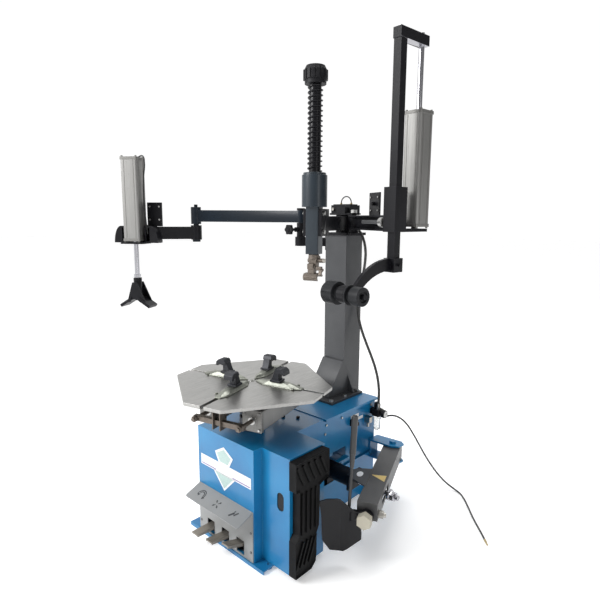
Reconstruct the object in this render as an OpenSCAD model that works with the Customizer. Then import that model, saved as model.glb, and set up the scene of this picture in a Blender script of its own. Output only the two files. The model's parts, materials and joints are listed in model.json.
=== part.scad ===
// Tire changer with a swing mount arm, two pneumatic helper arms and a side
// bead breaker. Millimetres, +Z up, pedals at -Y, bead breaker at +X.
// The origin lies on the floor at the centre of the four anchor holes.

/* [Cabinet] */

// width of the cabinet across X
body_w = 388; // [370:1:410]
// length of the cabinet along Y
body_l = 879; // [850:1:910]
// height of the cabinet top plate
body_h = 532; // [500:1:560]
// thickness of the sheet metal
sheet = 3; // [2:0.5:5]
// how far the tyre support box stands out
side_box_w = 165; // [145:1:185]
// diameter of the floor anchor holes
anchor_d = 12; // [8:1:20]

/* [Turntable] */

// distance from the centre to the slot exits
table_r = 363; // [340:1:380]
// thickness of the table plate
table_t = 14; // [10:1:20]
// height of the table plate top
table_top = 749; // [735:1:765]
// angle of the first slot
table_turn = -74.5; // [-80:0.5:-70]

/* [Column and mount arm] */

// width of the square column
column_w = 140; // [125:1:150]
// height of the column top
column_top = 1402; // [1396:1:1406]
// reach of the mount arm from the column axis
arm_reach = 430; // [400:1:460]
// swing of the mount arm away from straight ahead
arm_turn = 19.5; // [10:0.5:30]

/* [Helper arms] */

// outer size of the square helper cylinders
ram_w = 95; // [90:1:105]
// bore of the helper cylinders
ram_bore = 80; // [60:1:84]
// diameter of the chrome rods
ram_rod_d = 25; // [20:1:30]
// width of the square helper post
post_w = 40; // [34:1:46]

/* [Bead breaker] */

// height of the breaker arm
breaker_h = 80; // [70:1:90]
// diameter of the breaker cylinder
breaker_d = 84; // [76:1:92]

/* [Hidden] */

e = 0.02;
hx = body_w / 2;
hy = body_l / 2;
skid_h = 16;
anchor_x = 240;
anchor_y = 400;
pedal_xs = [-104, 1, 106];
pedal_y = -390;
pedal_z = 60;
pad_t = 42;
table_c = [-6, -268];
table_z = table_top - table_t;
jaw_r = 24;
clamp_z = 642;
clamp_off = 114;
col_c = [-15, 407];
arm_z = 1428;
arm_h = 74;
cheek_h = 90;
tool_z0 = 1326;
tool_z1 = 1540;
left_a = [-242, 308];
left_b = [-713, -53];
left_c = [-847, -351];
right_p = [86, 357];
right_q = [450, 172];
right_turn = -6;
brk_p = [315, 440];
brk_e = [540, -104];
brk_turn = atan2(brk_e[1] - brk_p[1], brk_e[0] - brk_p[0]);
brk_len = norm(brk_e - brk_p);
brk_z = 216;
rod_y = 80;
rod_z = 250;

// centre line of the hose from the regulator up to the column head
head_route = [
  [245, 398, 520], [246, 399, 560], [238, 404, 620], [214, 412, 690], [178, 418, 760],
  [138, 421, 830], [104, 422, 900], [84, 422, 960], [78, 422, 1010], [80, 422, 1060],
  [92, 421, 1130], [108, 420, 1200], [120, 419, 1270], [120, 418, 1330], [106, 416, 1385],
  [86, 414, 1420], [66, 413, 1436], [56, 412, 1440]
];

// centre line of the air supply hose from the inlet down to the floor
supply_route = [
  [262, 452, 437], [278, 462, 443], [300, 475, 444], [324, 496, 430], [346, 522, 398],
  [368, 550, 346], [392, 578, 282], [418, 608, 212], [446, 640, 146], [476, 672, 88],
  [508, 702, 42], [542, 722, 14], [580, 716, 5], [622, 680, 5], [664, 632, 5],
  [706, 580, 5], [746, 532, 5], [786, 488, 5], [824, 446, 5], [850, 416, 5]
];

// ---- shared shapes ----

// flat plate outline with round corners, in the XY plane
module round_rect(w, l, r) {
  square([w - 2 * r, l], center = true);
  square([w, l - 2 * r], center = true);
  for (sx = [-1, 1], sy = [-1, 1]) {
    translate([sx * (w / 2 - r), sy * (l / 2 - r)]) circle(r = r, $fn = 24);
  }
}

// upright block with round vertical edges
module round_block(w, l, h, r) {
  linear_extrude(h) round_rect(w, l, r);
}

// straight bar that starts at a and points along turn in plan
module bar_from(a, turn, len, w, z0, h) {
  translate([a[0], a[1], z0]) rotate([0, 0, turn]) translate([0, -w / 2, 0]) cube([len, w, h]);
}

// hexagonal bolt head with its shank below it
module hex_bolt(d, shank) {
  cylinder(d = 1.75 * d, h = 0.65 * d, $fn = 6);
  translate([0, 0, -shank]) cylinder(d = d, h = shank + e, $fn = 20);
}

// square profile ram body with a through bore and two end plates
module ram_body(w, bore, len, rod) {
  difference() {
    union() {
      translate([0, 0, 12]) round_block(w - 4, w - 4, len - 24, 9);
      round_block(w, w, 14, 5);
      translate([0, 0, len - 14]) round_block(w, w, 14, 5);
    }
    translate([0, 0, 14]) cylinder(d = bore, h = len - 28, $fn = 64);
    translate([0, 0, -1]) cylinder(d = rod + 0.1, h = len + 2, $fn = 48);
  }
  for (sx = [-1, 1], sy = [-1, 1]) {
    translate([sx * (w / 2 - 9), sy * (w / 2 - 9), -6]) cylinder(d = 12, h = 7, $fn = 6);
    translate([sx * (w / 2 - 9), sy * (w / 2 - 9), len - 1]) cylinder(d = 12, h = 7, $fn = 6);
  }
}

// unit vector along a step of a route
function step_dir(r, i) = (r[i + 1] - r[i]) / norm(r[i + 1] - r[i]);
// mean direction of a route at point i
function route_dir(r, i) = let (
    a = step_dir(r, max(i - 1, 0)),
    b = step_dir(r, min(i, len(r) - 2)),
    s = a + b
  ) s / norm(s);
// two vectors square to a direction
function side_of(t) = let (s = cross(t, [0.31, -0.52, 0.8])) s / norm(s);
// points of one ring around a route point
function ring_of(r, i, d, n) = let (
    t = route_dir(r, i),
    s = side_of(t),
    u = cross(t, s)
  ) [for (k = [0:n - 1]) r[i] + d / 2 * (cos(360 * k / n) * s + sin(360 * k / n) * u)];
// point on a smooth curve through four points
function smooth_at(a, b, c, d, t) = 0.5 * (2 * b + (c - a) * t
    + (2 * a - 5 * b + 4 * c - d) * t * t + (3 * b - a - 3 * c + d) * t * t * t);
// finer route with k steps between neighbours
function refine(r, k) = [
    for (i = [0:len(r) - 2], j = [0:k - 1])
      smooth_at(r[max(i - 1, 0)], r[i], r[i + 1], r[min(i + 2, len(r) - 1)], j / k),
    r[len(r) - 1]
  ];

// round hose swept along a route
module hose(r, d, n) {
  m = len(r);
  pts = [for (i = [0:m - 1]) each ring_of(r, i, d, n)];
  sides = [for (i = [0:m - 2], k = [0:n - 1]) each [
    [i * n + k, i * n + (k + 1) % n, (i + 1) * n + k],
    [i * n + (k + 1) % n, (i + 1) * n + (k + 1) % n, (i + 1) * n + k]
  ]];
  start = [for (k = [0:n - 1]) n - 1 - k];
  finish = [for (k = [0:n - 1]) (m - 1) * n + k];
  polyhedron(points = pts, faces = concat(sides, [start, finish]), convexity = 6);
}

// place children in the frame of one table slot, X pointing outward
module at_slot(k) {
  translate([table_c[0], table_c[1], 0]) rotate([0, 0, table_turn + 90 * k]) children();
}

// place children at each bolt of the column foot
module at_bolts() {
  for (x = [-122, 92], y = [190, 302, 416]) translate([x, y, 0]) children();
}

// ---- cabinet ----

module cabinet_shell() {
  color("DodgerBlue") difference() {
    union() {
      translate([-hx, -hy, skid_h]) cube([body_w, body_l, body_h - skid_h]);
      translate([hx - e, -392, 18]) cube([side_box_w, 216, body_h - 18]);
      // reinforcing plate under the column, slightly wider than the cabinet
      translate([-hx - 8, 10, body_h - 8]) cube([body_w + 26, hy - 8, 12]);
    }
    // the hollow inside, open to the floor
    translate([-hx + sheet, -hy + sheet, skid_h - 1])
      cube([body_w - 2 * sheet, body_l - 2 * sheet, body_h - skid_h - 7]);
    translate([hx + sheet, -392 + sheet, 17])
      cube([side_box_w - 2 * sheet, 216 - 2 * sheet, body_h - 25]);
    // neck of the gearbox
    translate([table_c[0], table_c[1], body_h - 20]) cylinder(d = 132, h = 40, $fn = 64);
    // oval hand slot in the front of the support box
    translate([306, -388, 349]) rotate([90, 0, 0]) cylinder(d = 40, h = 10, $fn = 48);
    translate([306, -388, 307]) rotate([90, 0, 0]) cylinder(d = 40, h = 10, $fn = 48);
    translate([286, -398, 307]) cube([40, 10, 42]);
    // opening behind the pedals
    translate([-150, -hy - 1, 24]) cube([302, 6, 72]);
    // hose window in the right side and the opening for the breaker ram
    translate([hx - 5, 82, 292]) cube([10, 104, 46]);
    translate([hx - 5, 8, 182]) cube([10, 146, 142]);
    // service opening at the back
    translate([-110, hy - 5, 120]) cube([220, 10, 260]);
    at_bolts() translate([0, 0, body_h - 20]) cylinder(d = 14, h = 40, $fn = 24);
  }
  // folded ledge under the hose window
  color("DeepSkyBlue") difference() {
    translate([hx - e, 78, 284]) cube([26, 112, 4]);
    translate([hx - 4, rod_y, rod_z]) rotate([0, 90, 0]) cylinder(d = breaker_d + 2, h = 40, $fn = 48);
  }
  // folded seam along the right side
  color("DodgerBlue") translate([hx - e, 156, 236]) cube([12, 236, 5]);
  // rear service cover
  color("DodgerBlue") translate([-118, hy - e, 112]) cube([236, 3, 276]);
}

// folded skids, each with a spacer tube around its two anchor holes
module base_skids() {
  color("SteelBlue") for (s = [-1, 1]) difference() {
    union() {
      difference() {
        translate([-262, s * (hy - 48) - 58, 0]) cube([524, 116, skid_h]);
        translate([-263, s * (hy - 48) - 53, -1]) cube([526, 106, skid_h - 4]);
      }
      for (x = [-anchor_x, anchor_x]) {
        translate([x, s * anchor_y, 0]) cylinder(d = 34, h = skid_h - 2, $fn = 48);
      }
    }
    for (x = [-anchor_x, anchor_x]) {
      translate([x, s * anchor_y, -1]) cylinder(d = anchor_d, h = skid_h + 2, $fn = 32);
    }
  }
}

// black ribbed rubber block, 8-shaped with a narrow waist
module bead_pad() {
  x0 = hx + side_box_w;
  color([0.08, 0.08, 0.08]) difference() {
    union() {
      translate([x0, -396, 398]) cube([pad_t, 206, 128]);
      translate([x0, -372, 170]) cube([pad_t - 8, 122, 240]);
      translate([x0, -396, 20]) cube([pad_t, 128, 164]);
    }
    for (i = [0:3]) {
      translate([x0 + pad_t - 8, -372 + 44 * i, 384]) rotate([24, 0, 0]) cube([20, 12, 140]);
    }
    for (i = [0:2]) {
      translate([x0 + pad_t - 16, -356 + 36 * i, 190]) cube([20, 12, 196]);
    }
    for (i = [0:2]) {
      translate([x0 + pad_t - 8, -380 + 40 * i, 36]) rotate([-24, 0, 0]) cube([20, 12, 120]);
    }
  }
}

module pedal_hood() {
  color("DarkGray") difference() {
    union() {
      // face panel with three pedal openings
      translate([-190, -hy - 4, skid_h]) cube([380, 4, 252 - skid_h]);
      // sloping cover
      translate([0, -hy, 248]) rotate([22, 0, 0]) translate([0, -46, 0])
        linear_extrude(4) round_rect(374, 92, 10);
    }
    for (x = pedal_xs) {
      translate([x - 26, -hy - 10, 24]) cube([52, 20, 68]);
    }
    for (z = [62, 152]) {
      translate([178, -hy - 10, z]) rotate([-90, 0, 0]) cylinder(d = 5, h = 20, $fn = 16);
    }
  }
}

// frame inside the front that carries the pedal axle and three valves
module pedal_frame() {
  color("SlateGray") {
    translate([-176, pedal_y - 30, skid_h]) cube([352, 142, 5]);
    for (x = [-156, -55, 51, 152]) {
      translate([x, pedal_y - 30, skid_h]) cube([6, 60, 58]);
    }
    translate([-160, pedal_y, pedal_z]) rotate([0, 90, 0]) cylinder(d = 16, h = 322, $fn = 32);
    translate([-176, pedal_y + 56, skid_h]) cube([352, 44, 22]);
  }
  color("Silver") for (x = pedal_xs) {
    translate([x - 20, pedal_y + 58, skid_h + 22 - e]) cube([40, 40, 36]);
    translate([x, pedal_y + 78, skid_h + 58 - 2 * e]) cylinder(d = 14, h = 8, $fn = 24);
  }
}

// foot pedal on the axle: flat tread, two tapered webs and a tail to the valve
module pedal_at(x, tilt) {
  translate([x, pedal_y, pedal_z]) rotate([-tilt, 0, 0]) difference() {
    union() {
      rotate([0, 90, 0]) translate([0, 0, -21]) cylinder(d = 30, h = 42, $fn = 48);
      translate([-22, -146, 1]) cube([44, 150, 6]);
      for (side = [-22, 18]) {
        translate([side, 0, 0]) rotate([90, 0, 90])
          linear_extrude(4) polygon([[2, -12], [2, 3], [-144, 3], [-144, -3]]);
      }
      translate([-12, 8, -6]) cube([24, 30, 12]);
    }
    rotate([0, 90, 0]) translate([0, 0, -30]) cylinder(d = 16.1, h = 60, $fn = 32);
  }
}

module pedal_left() {
  color("LightGray") pedal_at(pedal_xs[0], 0);
}

module pedal_middle() {
  color("LightGray") pedal_at(pedal_xs[1], 5);
}

module pedal_right() {
  color("LightGray") pedal_at(pedal_xs[2], 17);
}

// electric motor lying under the table, feet on the gearbox frame
module motor() {
  color("DimGray") {
    translate([-6, 20, 250]) rotate([90, 0, 0]) cylinder(d = 150, h = 200, $fn = 64);
    translate([-6, 38, 250]) rotate([90, 0, 0]) cylinder(d = 132, h = 22, $fn = 48);
    translate([-6, -179, 250]) rotate([90, 0, 0]) cylinder(d = 60, h = 21, $fn = 48);
    translate([-66, -140, 170]) cube([120, 120, 20]);
    translate([-46, -120, 318]) cube([80, 80, 34]);
    for (k = [0:11]) {
      translate([-6, -170, 250]) rotate([0, 30 * k + 15, 0])
        translate([-2, 0, 60]) cube([4, 180, 22]);
    }
  }
}

// worm gearbox with the neck that carries the table
module gearbox() {
  color("Gray") difference() {
    union() {
      translate([-96, -358, 190]) cube([180, 158, 150]);
      translate([table_c[0], table_c[1], 338]) cylinder(d = 170, h = 60, $fn = 64);
      translate([table_c[0], table_c[1], 396]) cylinder(d = 118, h = 188, $fn = 64);
      // feet down to the cross frame
      for (x = [-96, 66]) {
        translate([x, -358, 152]) cube([18, 158, 42]);
      }
      translate([-170, -206, 152]) cube([328, 252, 18]);
    }
    translate([table_c[0], table_c[1], 300]) cylinder(d = 60, h = 300, $fn = 64);
  }
  // cross frame that hangs between the cabinet walls
  color("Gray") for (y = [-204, 20]) {
    translate([-hx + sheet, y, 152]) cube([body_w - 2 * sheet, 20, 18]);
  }
}

// ---- turntable ----

module table_outline() {
  a = 93;
  difference() {
    polygon([
      [table_r, -a], [table_r, a], [a, table_r], [-a, table_r],
      [-table_r, a], [-table_r, -a], [-a, -table_r], [a, -table_r]
    ]);
    for (k = [0:3]) rotate([0, 0, 90 * k]) {
      translate([62, -9]) square([table_r, 18]);
      translate([62, 0]) circle(r = 9, $fn = 24);
    }
  }
}

module table_plate() {
  color("Silver") {
    translate([table_c[0], table_c[1], table_z]) rotate([0, 0, table_turn])
      linear_extrude(table_t) table_outline();
    // small screw plate at the centre
    translate([table_c[0], table_c[1], table_top - e]) cylinder(d = 22, h = 3, $fn = 32);
    // slot rails under the plate
    for (k = [0:3]) at_slot(k) {
      for (s = [-1, 1]) {
        translate([110, s * 31 - 6, table_z - 12]) cube([230, 12, 12 + e]);
      }
    }
  }
}

// table shaft with the flange under the plate
module table_spindle() {
  color("SlateGray") {
    translate([table_c[0], table_c[1], 322]) cylinder(d = 59.9, h = 330, $fn = 64);
    translate([table_c[0], table_c[1], 600]) cylinder(d = 118, h = 60, $fn = 64);
    translate([table_c[0], table_c[1], 655]) cylinder(d = 88, h = 62, $fn = 64);
    translate([table_c[0], table_c[1], 713]) cylinder(d = 190, h = table_z - 713, $fn = 64);
    for (k = [0:3]) at_slot(k) {
      translate([0, -5, 690]) cube([90, 10, 40]);
    }
  }
}

// ribbed jaw slide, the neck in the slot and the keeper below the plate
module jaw_slide() {
  z0 = table_top + 0.3;
  difference() {
    union() {
      // long slide with a pointed inner end
      translate([0, 0, z0]) linear_extrude(9)
        polygon([[jaw_r, 0], [jaw_r + 46, -27], [jaw_r + 216, -30], [jaw_r + 240, -20],
          [jaw_r + 240, 20], [jaw_r + 216, 30], [jaw_r + 46, 27]]);
      translate([0, 0, z0 + 9 - e]) linear_extrude(10)
        polygon([[jaw_r + 14, 0], [jaw_r + 56, -16], [jaw_r + 196, -18],
          [jaw_r + 196, 18], [jaw_r + 56, 16]]);
      // stepped outer shoulder
      for (i = [0:2]) {
        translate([jaw_r + 176 + 14 * i, -26 + 2 * i, z0]) cube([16, 52 - 4 * i, 26 - 6 * i]);
      }
    }
    // two long flutes on top
    for (s = [-1, 1]) {
      translate([jaw_r + 70, s * 9 - 2, z0 + 15]) cube([96, 4, 10]);
    }
  }
  // neck and keeper
  translate([98, -8.8, table_z - 10]) cube([142, 17.6, table_t + 11]);
  translate([96, -24.5, table_z - 22]) cube([140, 49, 21.5]);
}

module jaw_front() {
  color("Gainsboro") at_slot(0) {
    jaw_slide();
    for (x = [226, 264]) {
      translate([x, -22, clamp_z - 28]) cube([9, 44, table_z - clamp_z + 10]);
    }
    translate([226, -22, table_z - 20]) cube([47, 44, 10]);
  }
}

module jaw_right() {
  color("Gainsboro") at_slot(1) jaw_slide();
}

module jaw_rear() {
  color("Gainsboro") at_slot(2) {
    jaw_slide();
    for (x = [226, 264]) {
      translate([x, -22, clamp_z - 28]) cube([9, 44, table_z - clamp_z + 10]);
    }
    translate([226, -22, table_z - 20]) cube([47, 44, 10]);
  }
}

module jaw_left() {
  color("Gainsboro") at_slot(3) jaw_slide();
}

// hooked clamp on top of a slide
module claw() {
  z0 = table_top + 19.3;
  translate([0, 21, 0]) rotate([90, 0, 0]) linear_extrude(42)
    polygon([[108, z0], [166, z0], [168, z0 + 34], [186, z0 + 58], [180, z0 + 66],
      [146, z0 + 64], [140, z0 + 40], [128, z0 + 22], [108, z0 + 12]]);
  translate([122, -26, z0]) cube([40, 52, 12]);
}

module claw_front() {
  color([0.15, 0.15, 0.17]) at_slot(0) claw();
}

module claw_right() {
  color([0.15, 0.15, 0.17]) at_slot(1) claw();
}

module claw_rear() {
  color([0.15, 0.15, 0.17]) at_slot(2) claw();
}

module claw_left() {
  color([0.15, 0.15, 0.17]) at_slot(3) claw();
}

// cross bar through the front carriage, with the two ram rods
module clamp_bar_front() {
  color("RosyBrown") at_slot(0) {
    translate([241, -clamp_off - 14, clamp_z - 11]) cube([22, 2 * clamp_off + 28, 22]);
    for (s = [-1, 1]) translate([0, s * clamp_off, clamp_z]) {
      translate([-30, 0, 0]) rotate([0, 90, 0]) cylinder(d = 18, h = 314, $fn = 32);
      translate([262, 0, 0]) rotate([0, 90, 0]) cylinder(d = 30, h = 14, $fn = 6);
      translate([-40, 0, 0]) rotate([0, 90, 0]) cylinder(d = 79.9, h = 22, $fn = 48);
    }
  }
}

// cross bar at the rear, joined to both ram bodies
module clamp_bar_rear() {
  color("RosyBrown") at_slot(2) {
    translate([241, -clamp_off - 14, clamp_z - 11]) cube([22, 2 * clamp_off + 28, 22]);
    for (s = [-1, 1]) {
      translate([206, s * clamp_off, clamp_z]) rotate([0, 90, 0]) cylinder(d = 20, h = 40, $fn = 32);
      translate([262, s * clamp_off, clamp_z]) rotate([0, 90, 0]) cylinder(d = 30, h = 14, $fn = 6);
    }
  }
}

// pair of square ram bodies under the plate
module clamp_rams() {
  color("LightGray") at_slot(2) for (s = [-1, 1]) translate([-176, s * clamp_off, clamp_z]) {
    rotate([0, 90, 0]) difference() {
      union() {
        translate([0, 0, 6]) round_block(90, 90, 370, 8);
        round_block(96, 96, 16, 4);
        translate([0, 0, 366]) round_block(96, 96, 16, 4);
      }
      translate([0, 0, 16]) cylinder(d = 80, h = 350, $fn = 64);
      translate([0, 0, -1]) cylinder(d = 18.1, h = 30, $fn = 48);
    }
  }
}

// ---- column ----

module column_post() {
  color([0.16, 0.16, 0.18]) {
    difference() {
      translate([col_c[0] - column_w / 2, col_c[1] - column_w / 2, body_h + 4])
        cube([column_w, column_w, column_top - body_h - 4]);
      translate([col_c[0] - column_w / 2 + 6, col_c[1] - column_w / 2 + 6, body_h + 20])
        cube([column_w - 12, column_w - 12, column_top - body_h]);
    }
    difference() {
      translate([-142, 172, body_h + 4]) cube([254, 262, 12]);
      at_bolts() translate([0, 0, body_h]) cylinder(d = 14, h = 30, $fn = 24);
    }
    // sloping box in front of the foot
    translate([col_c[0] - column_w / 2, 0, 0]) rotate([90, 0, 90]) linear_extrude(column_w)
      polygon([[214, body_h + 15], [338, body_h + 15], [338, 728], [326, 728], [214, 566]]);
    // ribs at both sides
    for (x = [col_c[0] - column_w / 2, col_c[0] + column_w / 2 - e], s = [-1, 1]) {
      if ((x < col_c[0]) == (s < 0)) {
        translate([x, 380, body_h + 15]) rotate([90, 0, 0]) linear_extrude(8)
          polygon([[0, 0], [s * 40, 0], [s * 40, 8], [0, 96]]);
      }
    }
  }
}

module column_bolts() {
  color("Silver") at_bolts() translate([0, 0, body_h + 16]) hex_bolt(13.9, 24);
}

// head plate with the arm pivot, the side pivot and the top tie plate
module column_head() {
  color([0.16, 0.16, 0.18]) {
    translate([col_c[0], col_c[1], column_top]) round_block(176, 170, 14, 12);
    bar_from(col_c, -26.3, 146, 64, column_top + 1, 12);
    translate([col_c[0], col_c[1], column_top + 13]) cylinder(d = 90, h = 94, $fn = 64);
    translate([right_p[0], right_p[1], column_top + 5]) cylinder(d = 25, h = 105, $fn = 48);
    translate([col_c[0], col_c[1], 1508]) round_block(120, 120, 10, 12);
    bar_from(col_c, -26.3, 140, 50, 1509, 8);
    // spacer above the side pivot plate
    translate([right_p[0], right_p[1], column_top + 5]) cylinder(d = 50, h = 26, $fn = 48);
  }
  color("Silver") {
    translate([right_p[0], right_p[1], 1518]) cylinder(d = 34, h = 16, $fn = 6);
  }
}

module control_valves() {
  color([0.2, 0.2, 0.22]) {
    translate([-86, 380, 1518]) cube([128, 86, 42]);
    translate([-24, 350, 1518]) cube([56, 32, 30]);
    translate([-78, 388, 1559]) cube([110, 70, 6]);
  }
  color("Silver") for (x = [-66, -32, 2]) {
    translate([x, 382, 1538]) rotate([90, 0, 0]) cylinder(d = 14, h = 14, $fn = 24);
  }
}

// ---- swinging mount arm ----

module at_arm() {
  translate([col_c[0], col_c[1], 0]) rotate([0, 0, arm_turn - 90]) children();
}

module swing_arm() {
  color([0.14, 0.14, 0.16]) at_arm() difference() {
    union() {
      translate([0, 0, arm_z]) cylinder(d = 130, h = arm_h, $fn = 64);
      translate([30, -30, arm_z + 2]) cube([arm_reach - 92, 60, arm_h - 4]);
      // end block that grips the guide
      translate([arm_reach - 70, -46, arm_z - 20]) cube([34, 92, 124]);
      for (s = [-1, 1]) {
        translate([arm_reach - 40, s * 38 - 7, arm_z - 20]) cube([66, 14, 124]);
      }
    }
    translate([0, 0, arm_z - 1]) cylinder(d = 90.1, h = arm_h + 2, $fn = 64);
  }
  color("Silver") at_arm() for (s = [-1, 1], z = [arm_z, arm_z + 84]) {
    translate([arm_reach, s * 45, z]) rotate([-90 * s, 0, 0]) cylinder(d = 20, h = 9, $fn = 6);
  }
}

// square guide and the round lock can on top of it
module tool_guide() {
  color([0.15, 0.18, 0.22]) at_arm() translate([arm_reach, 0, 0]) difference() {
    union() {
      translate([0, 0, tool_z0]) round_block(62, 62, tool_z1 - tool_z0 + 1, 5);
      translate([0, 0, tool_z1]) cylinder(d = 116, h = 142, $fn = 64);
      translate([0, 0, tool_z1 + 140]) cylinder(d = 104, h = 12, $fn = 64);
    }
    translate([0, 0, tool_z0 - 1]) cylinder(d = 42, h = 400, $fn = 48);
  }
}

// hexagonal shaft, held by a round slide in the guide
module tool_shaft() {
  color("Silver") at_arm() translate([arm_reach, 0, 0]) {
    translate([0, 0, 1290]) cylinder(d = 38, h = 790, $fn = 6);
    translate([0, 0, 1330]) cylinder(d = 41.9, h = 90, $fn = 48);
    translate([0, 0, 1560]) cylinder(d = 41.9, h = 100, $fn = 48);
  }
}

// coil spring around the shaft
module tool_spring() {
  turns = 15;
  n = 16;
  m = turns * n;
  z_lo = 1697;
  z_hi = 2066;
  pts = [for (i = [0:m], k = [0:5])
    let (a = 360 * i / n, r = 32 + 4 * cos(60 * k))
      [r * cos(a), r * sin(a), z_lo + (z_hi - z_lo) * i / m + 4 * sin(60 * k)]];
  sides = [for (i = [0:m - 1], k = [0:5]) each [
    [i * 6 + k, i * 6 + 6 + k, i * 6 + (k + 1) % 6],
    [i * 6 + (k + 1) % 6, i * 6 + 6 + k, i * 6 + 6 + (k + 1) % 6]
  ]];
  ends = [[0, 1, 2, 3, 4, 5], [for (k = [0:5]) m * 6 + 5 - k]];
  color([0.12, 0.12, 0.13]) at_arm() translate([arm_reach, 0, 0])
    polyhedron(points = pts, faces = concat(sides, ends), convexity = 10);
}

module tool_cap() {
  color([0.1, 0.1, 0.1]) at_arm() translate([arm_reach, 0, 0]) difference() {
    union() {
      translate([0, 0, 2071]) cylinder(d = 96, h = 20, $fn = 64);
      translate([0, 0, 2088]) cylinder(d = 110, h = 40, $fn = 48);
      translate([0, 0, 2126]) cylinder(d1 = 104, d2 = 84, h = 21, $fn = 64);
    }
    for (k = [0:15]) rotate([0, 0, 22.5 * k]) {
      translate([55, 0, 2086]) cylinder(d = 9, h = 44, $fn = 16);
    }
    translate([0, 0, 2070]) cylinder(d = 38.1, h = 11, $fn = 6);
  }
}

// duck-bill mount head with its clamp block
module mount_head() {
  color("Tan") at_arm() translate([arm_reach, 0, 0]) {
    difference() {
      translate([-26, -30, 1262]) cube([60, 60, 62]);
      translate([0, 0, 1290]) cylinder(d = 38.1, h = 40, $fn = 6);
    }
    translate([30, -17, 1262]) cube([26, 34, 34]);
    translate([-22, 28, 1280]) cube([30, 18, 24]);
    // bill
    translate([0, 48, 0]) rotate([90, 0, 0]) linear_extrude(96) polygon([
      [-34, 1262], [42, 1262], [52, 1244], [50, 1216], [34, 1200], [18, 1200], [30, 1220],
      [26, 1240], [-20, 1244], [-34, 1252]]);
    translate([26, -62, 1204]) rotate([0, 14, 0]) round_block(34, 30, 40, 8);
  }
  color("Silver") at_arm() translate([arm_reach + 4, 44, 1292]) rotate([-90, 0, 0])
    cylinder(d = 18, h = 14, $fn = 6);
}

// ---- left helper arm ----

left_t1 = atan2(left_b[1] - left_a[1], left_b[0] - left_a[0]);
left_l1 = norm(left_b - left_a);
left_t2 = atan2(left_c[1] - left_b[1], left_c[0] - left_b[0]);
left_l2 = norm(left_c - left_b);
left_turn = 33.6;

module left_bracket() {
  color([0.14, 0.14, 0.16]) {
    bar_from([-97, 370.8], atan2(-68, -157), 158, 56, 1340, 46);
    translate([-97, 346, 1320]) cube([12, 60, 80]);
    translate([left_a[0], left_a[1], 1338]) cylinder(d = 64, h = 50, $fn = 48);
    translate([left_a[0], left_a[1], 1384]) cylinder(d = 46, h = 80, $fn = 48);
    translate([left_a[0], left_a[1], 1460]) cylinder(d = 30, h = 80, $fn = 48);
    translate([left_a[0], left_a[1], 1532]) cylinder(d = 46, h = 12, $fn = 48);
    // boss for the lock screw
    translate([left_a[0], left_a[1], 1428]) rotate([90, 0, 0]) cylinder(d = 26, h = 44, $fn = 32);
  }
}

module lock_knob() {
  color([0.1, 0.1, 0.1]) translate([left_a[0], left_a[1] - 44.3, 1428]) rotate([90, 0, 0]) {
    cylinder(d = 12, h = 44, $fn = 24);
    translate([0, 0, 38]) cylinder(d = 44, h = 20, $fn = 48);
    for (k = [0:5]) rotate([0, 0, 60 * k]) {
      translate([20, 0, 40]) cylinder(d = 17, h = 16, $fn = 24);
    }
    translate([0, 0, 57]) cylinder(d = 24, h = 5, $fn = 32);
  }
}

module left_link() {
  color([0.14, 0.16, 0.19]) {
    difference() {
      union() {
        bar_from(left_a, left_t1, left_l1 - 18, 42, 1466, 64);
        translate([left_a[0], left_a[1], 1465]) cylinder(d = 52, h = 66, $fn = 48);
      }
      translate([left_a[0], left_a[1], 1460]) cylinder(d = 30.1, h = 80, $fn = 48);
    }
    translate([left_b[0], left_b[1], 1453]) cylinder(d = 56, h = 94, $fn = 48);
    translate([left_b[0], left_b[1], 1358]) cylinder(d = 30, h = 96, $fn = 48);
    translate([left_b[0], left_b[1], 1354]) cylinder(d = 44, h = 11, $fn = 48);
  }
  color("Black") translate([left_b[0], left_b[1], 1546]) cylinder(d = 20, h = 15, $fn = 24);
}

// second link with the yoke that holds the press cylinder
module left_fork() {
  color([0.15, 0.15, 0.17]) {
    difference() {
      union() {
        bar_from(left_b, left_t2, left_l2 - 74, 46, 1370, 68);
        translate([left_b[0], left_b[1], 1366]) cylinder(d = 60, h = 80, $fn = 48);
      }
      translate([left_b[0], left_b[1], 1350]) cylinder(d = 30.1, h = 110, $fn = 48);
    }
    translate([left_c[0], left_c[1], 0]) rotate([0, 0, left_turn]) {
      // back plate and shelf
      difference() {
        translate([0, 2, 1347]) round_block(128, 110, 8, 10);
        translate([0, 0, 1340]) cylinder(d = 40, h = 30, $fn = 48);
      }
      translate([-90, 47.8, 1352]) cube([188, 12.2, 95]);
      // upright panel beside the ram
      translate([47, 50, 1440]) cube([84, 8, 128]);
      // rounded cheeks at both sides
      translate([90, 50, 1352]) rotate([90, 0, 0]) linear_extrude(60) cheek_outline(40);
      translate([-83, 50, 1352]) rotate([90, 0, 0]) mirror([1, 0, 0]) linear_extrude(52)
        cheek_outline(39);
    }
  }
}

// outline with one large rounded corner
module cheek_outline(w) {
  arc = [for (k = [0:12]) [w * cos(7.5 * k), cheek_h * sin(7.5 * k)]];
  difference() {
    polygon(concat([[-34, 0]], arc, [[-34, cheek_h]]));
    translate([-26, 8]) square([20, 74]);
  }
}

module press_ram() {
  color("LightGray") translate([left_c[0], left_c[1], 1361.5]) rotate([0, 0, left_turn]) {
    ram_body(ram_w, ram_bore, 438, ram_rod_d);
  }
}

module press_rod() {
  color("WhiteSmoke") translate([left_c[0], left_c[1], 0]) {
    translate([0, 0, 1112]) cylinder(d = ram_rod_d, h = 470, $fn = 48);
    translate([0, 0, 1578]) cylinder(d = ram_bore - 0.1, h = 26, $fn = 64);
    translate([0, 0, 1166]) cylinder(d = 36, h = 16, $fn = 6);
  }
}

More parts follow.
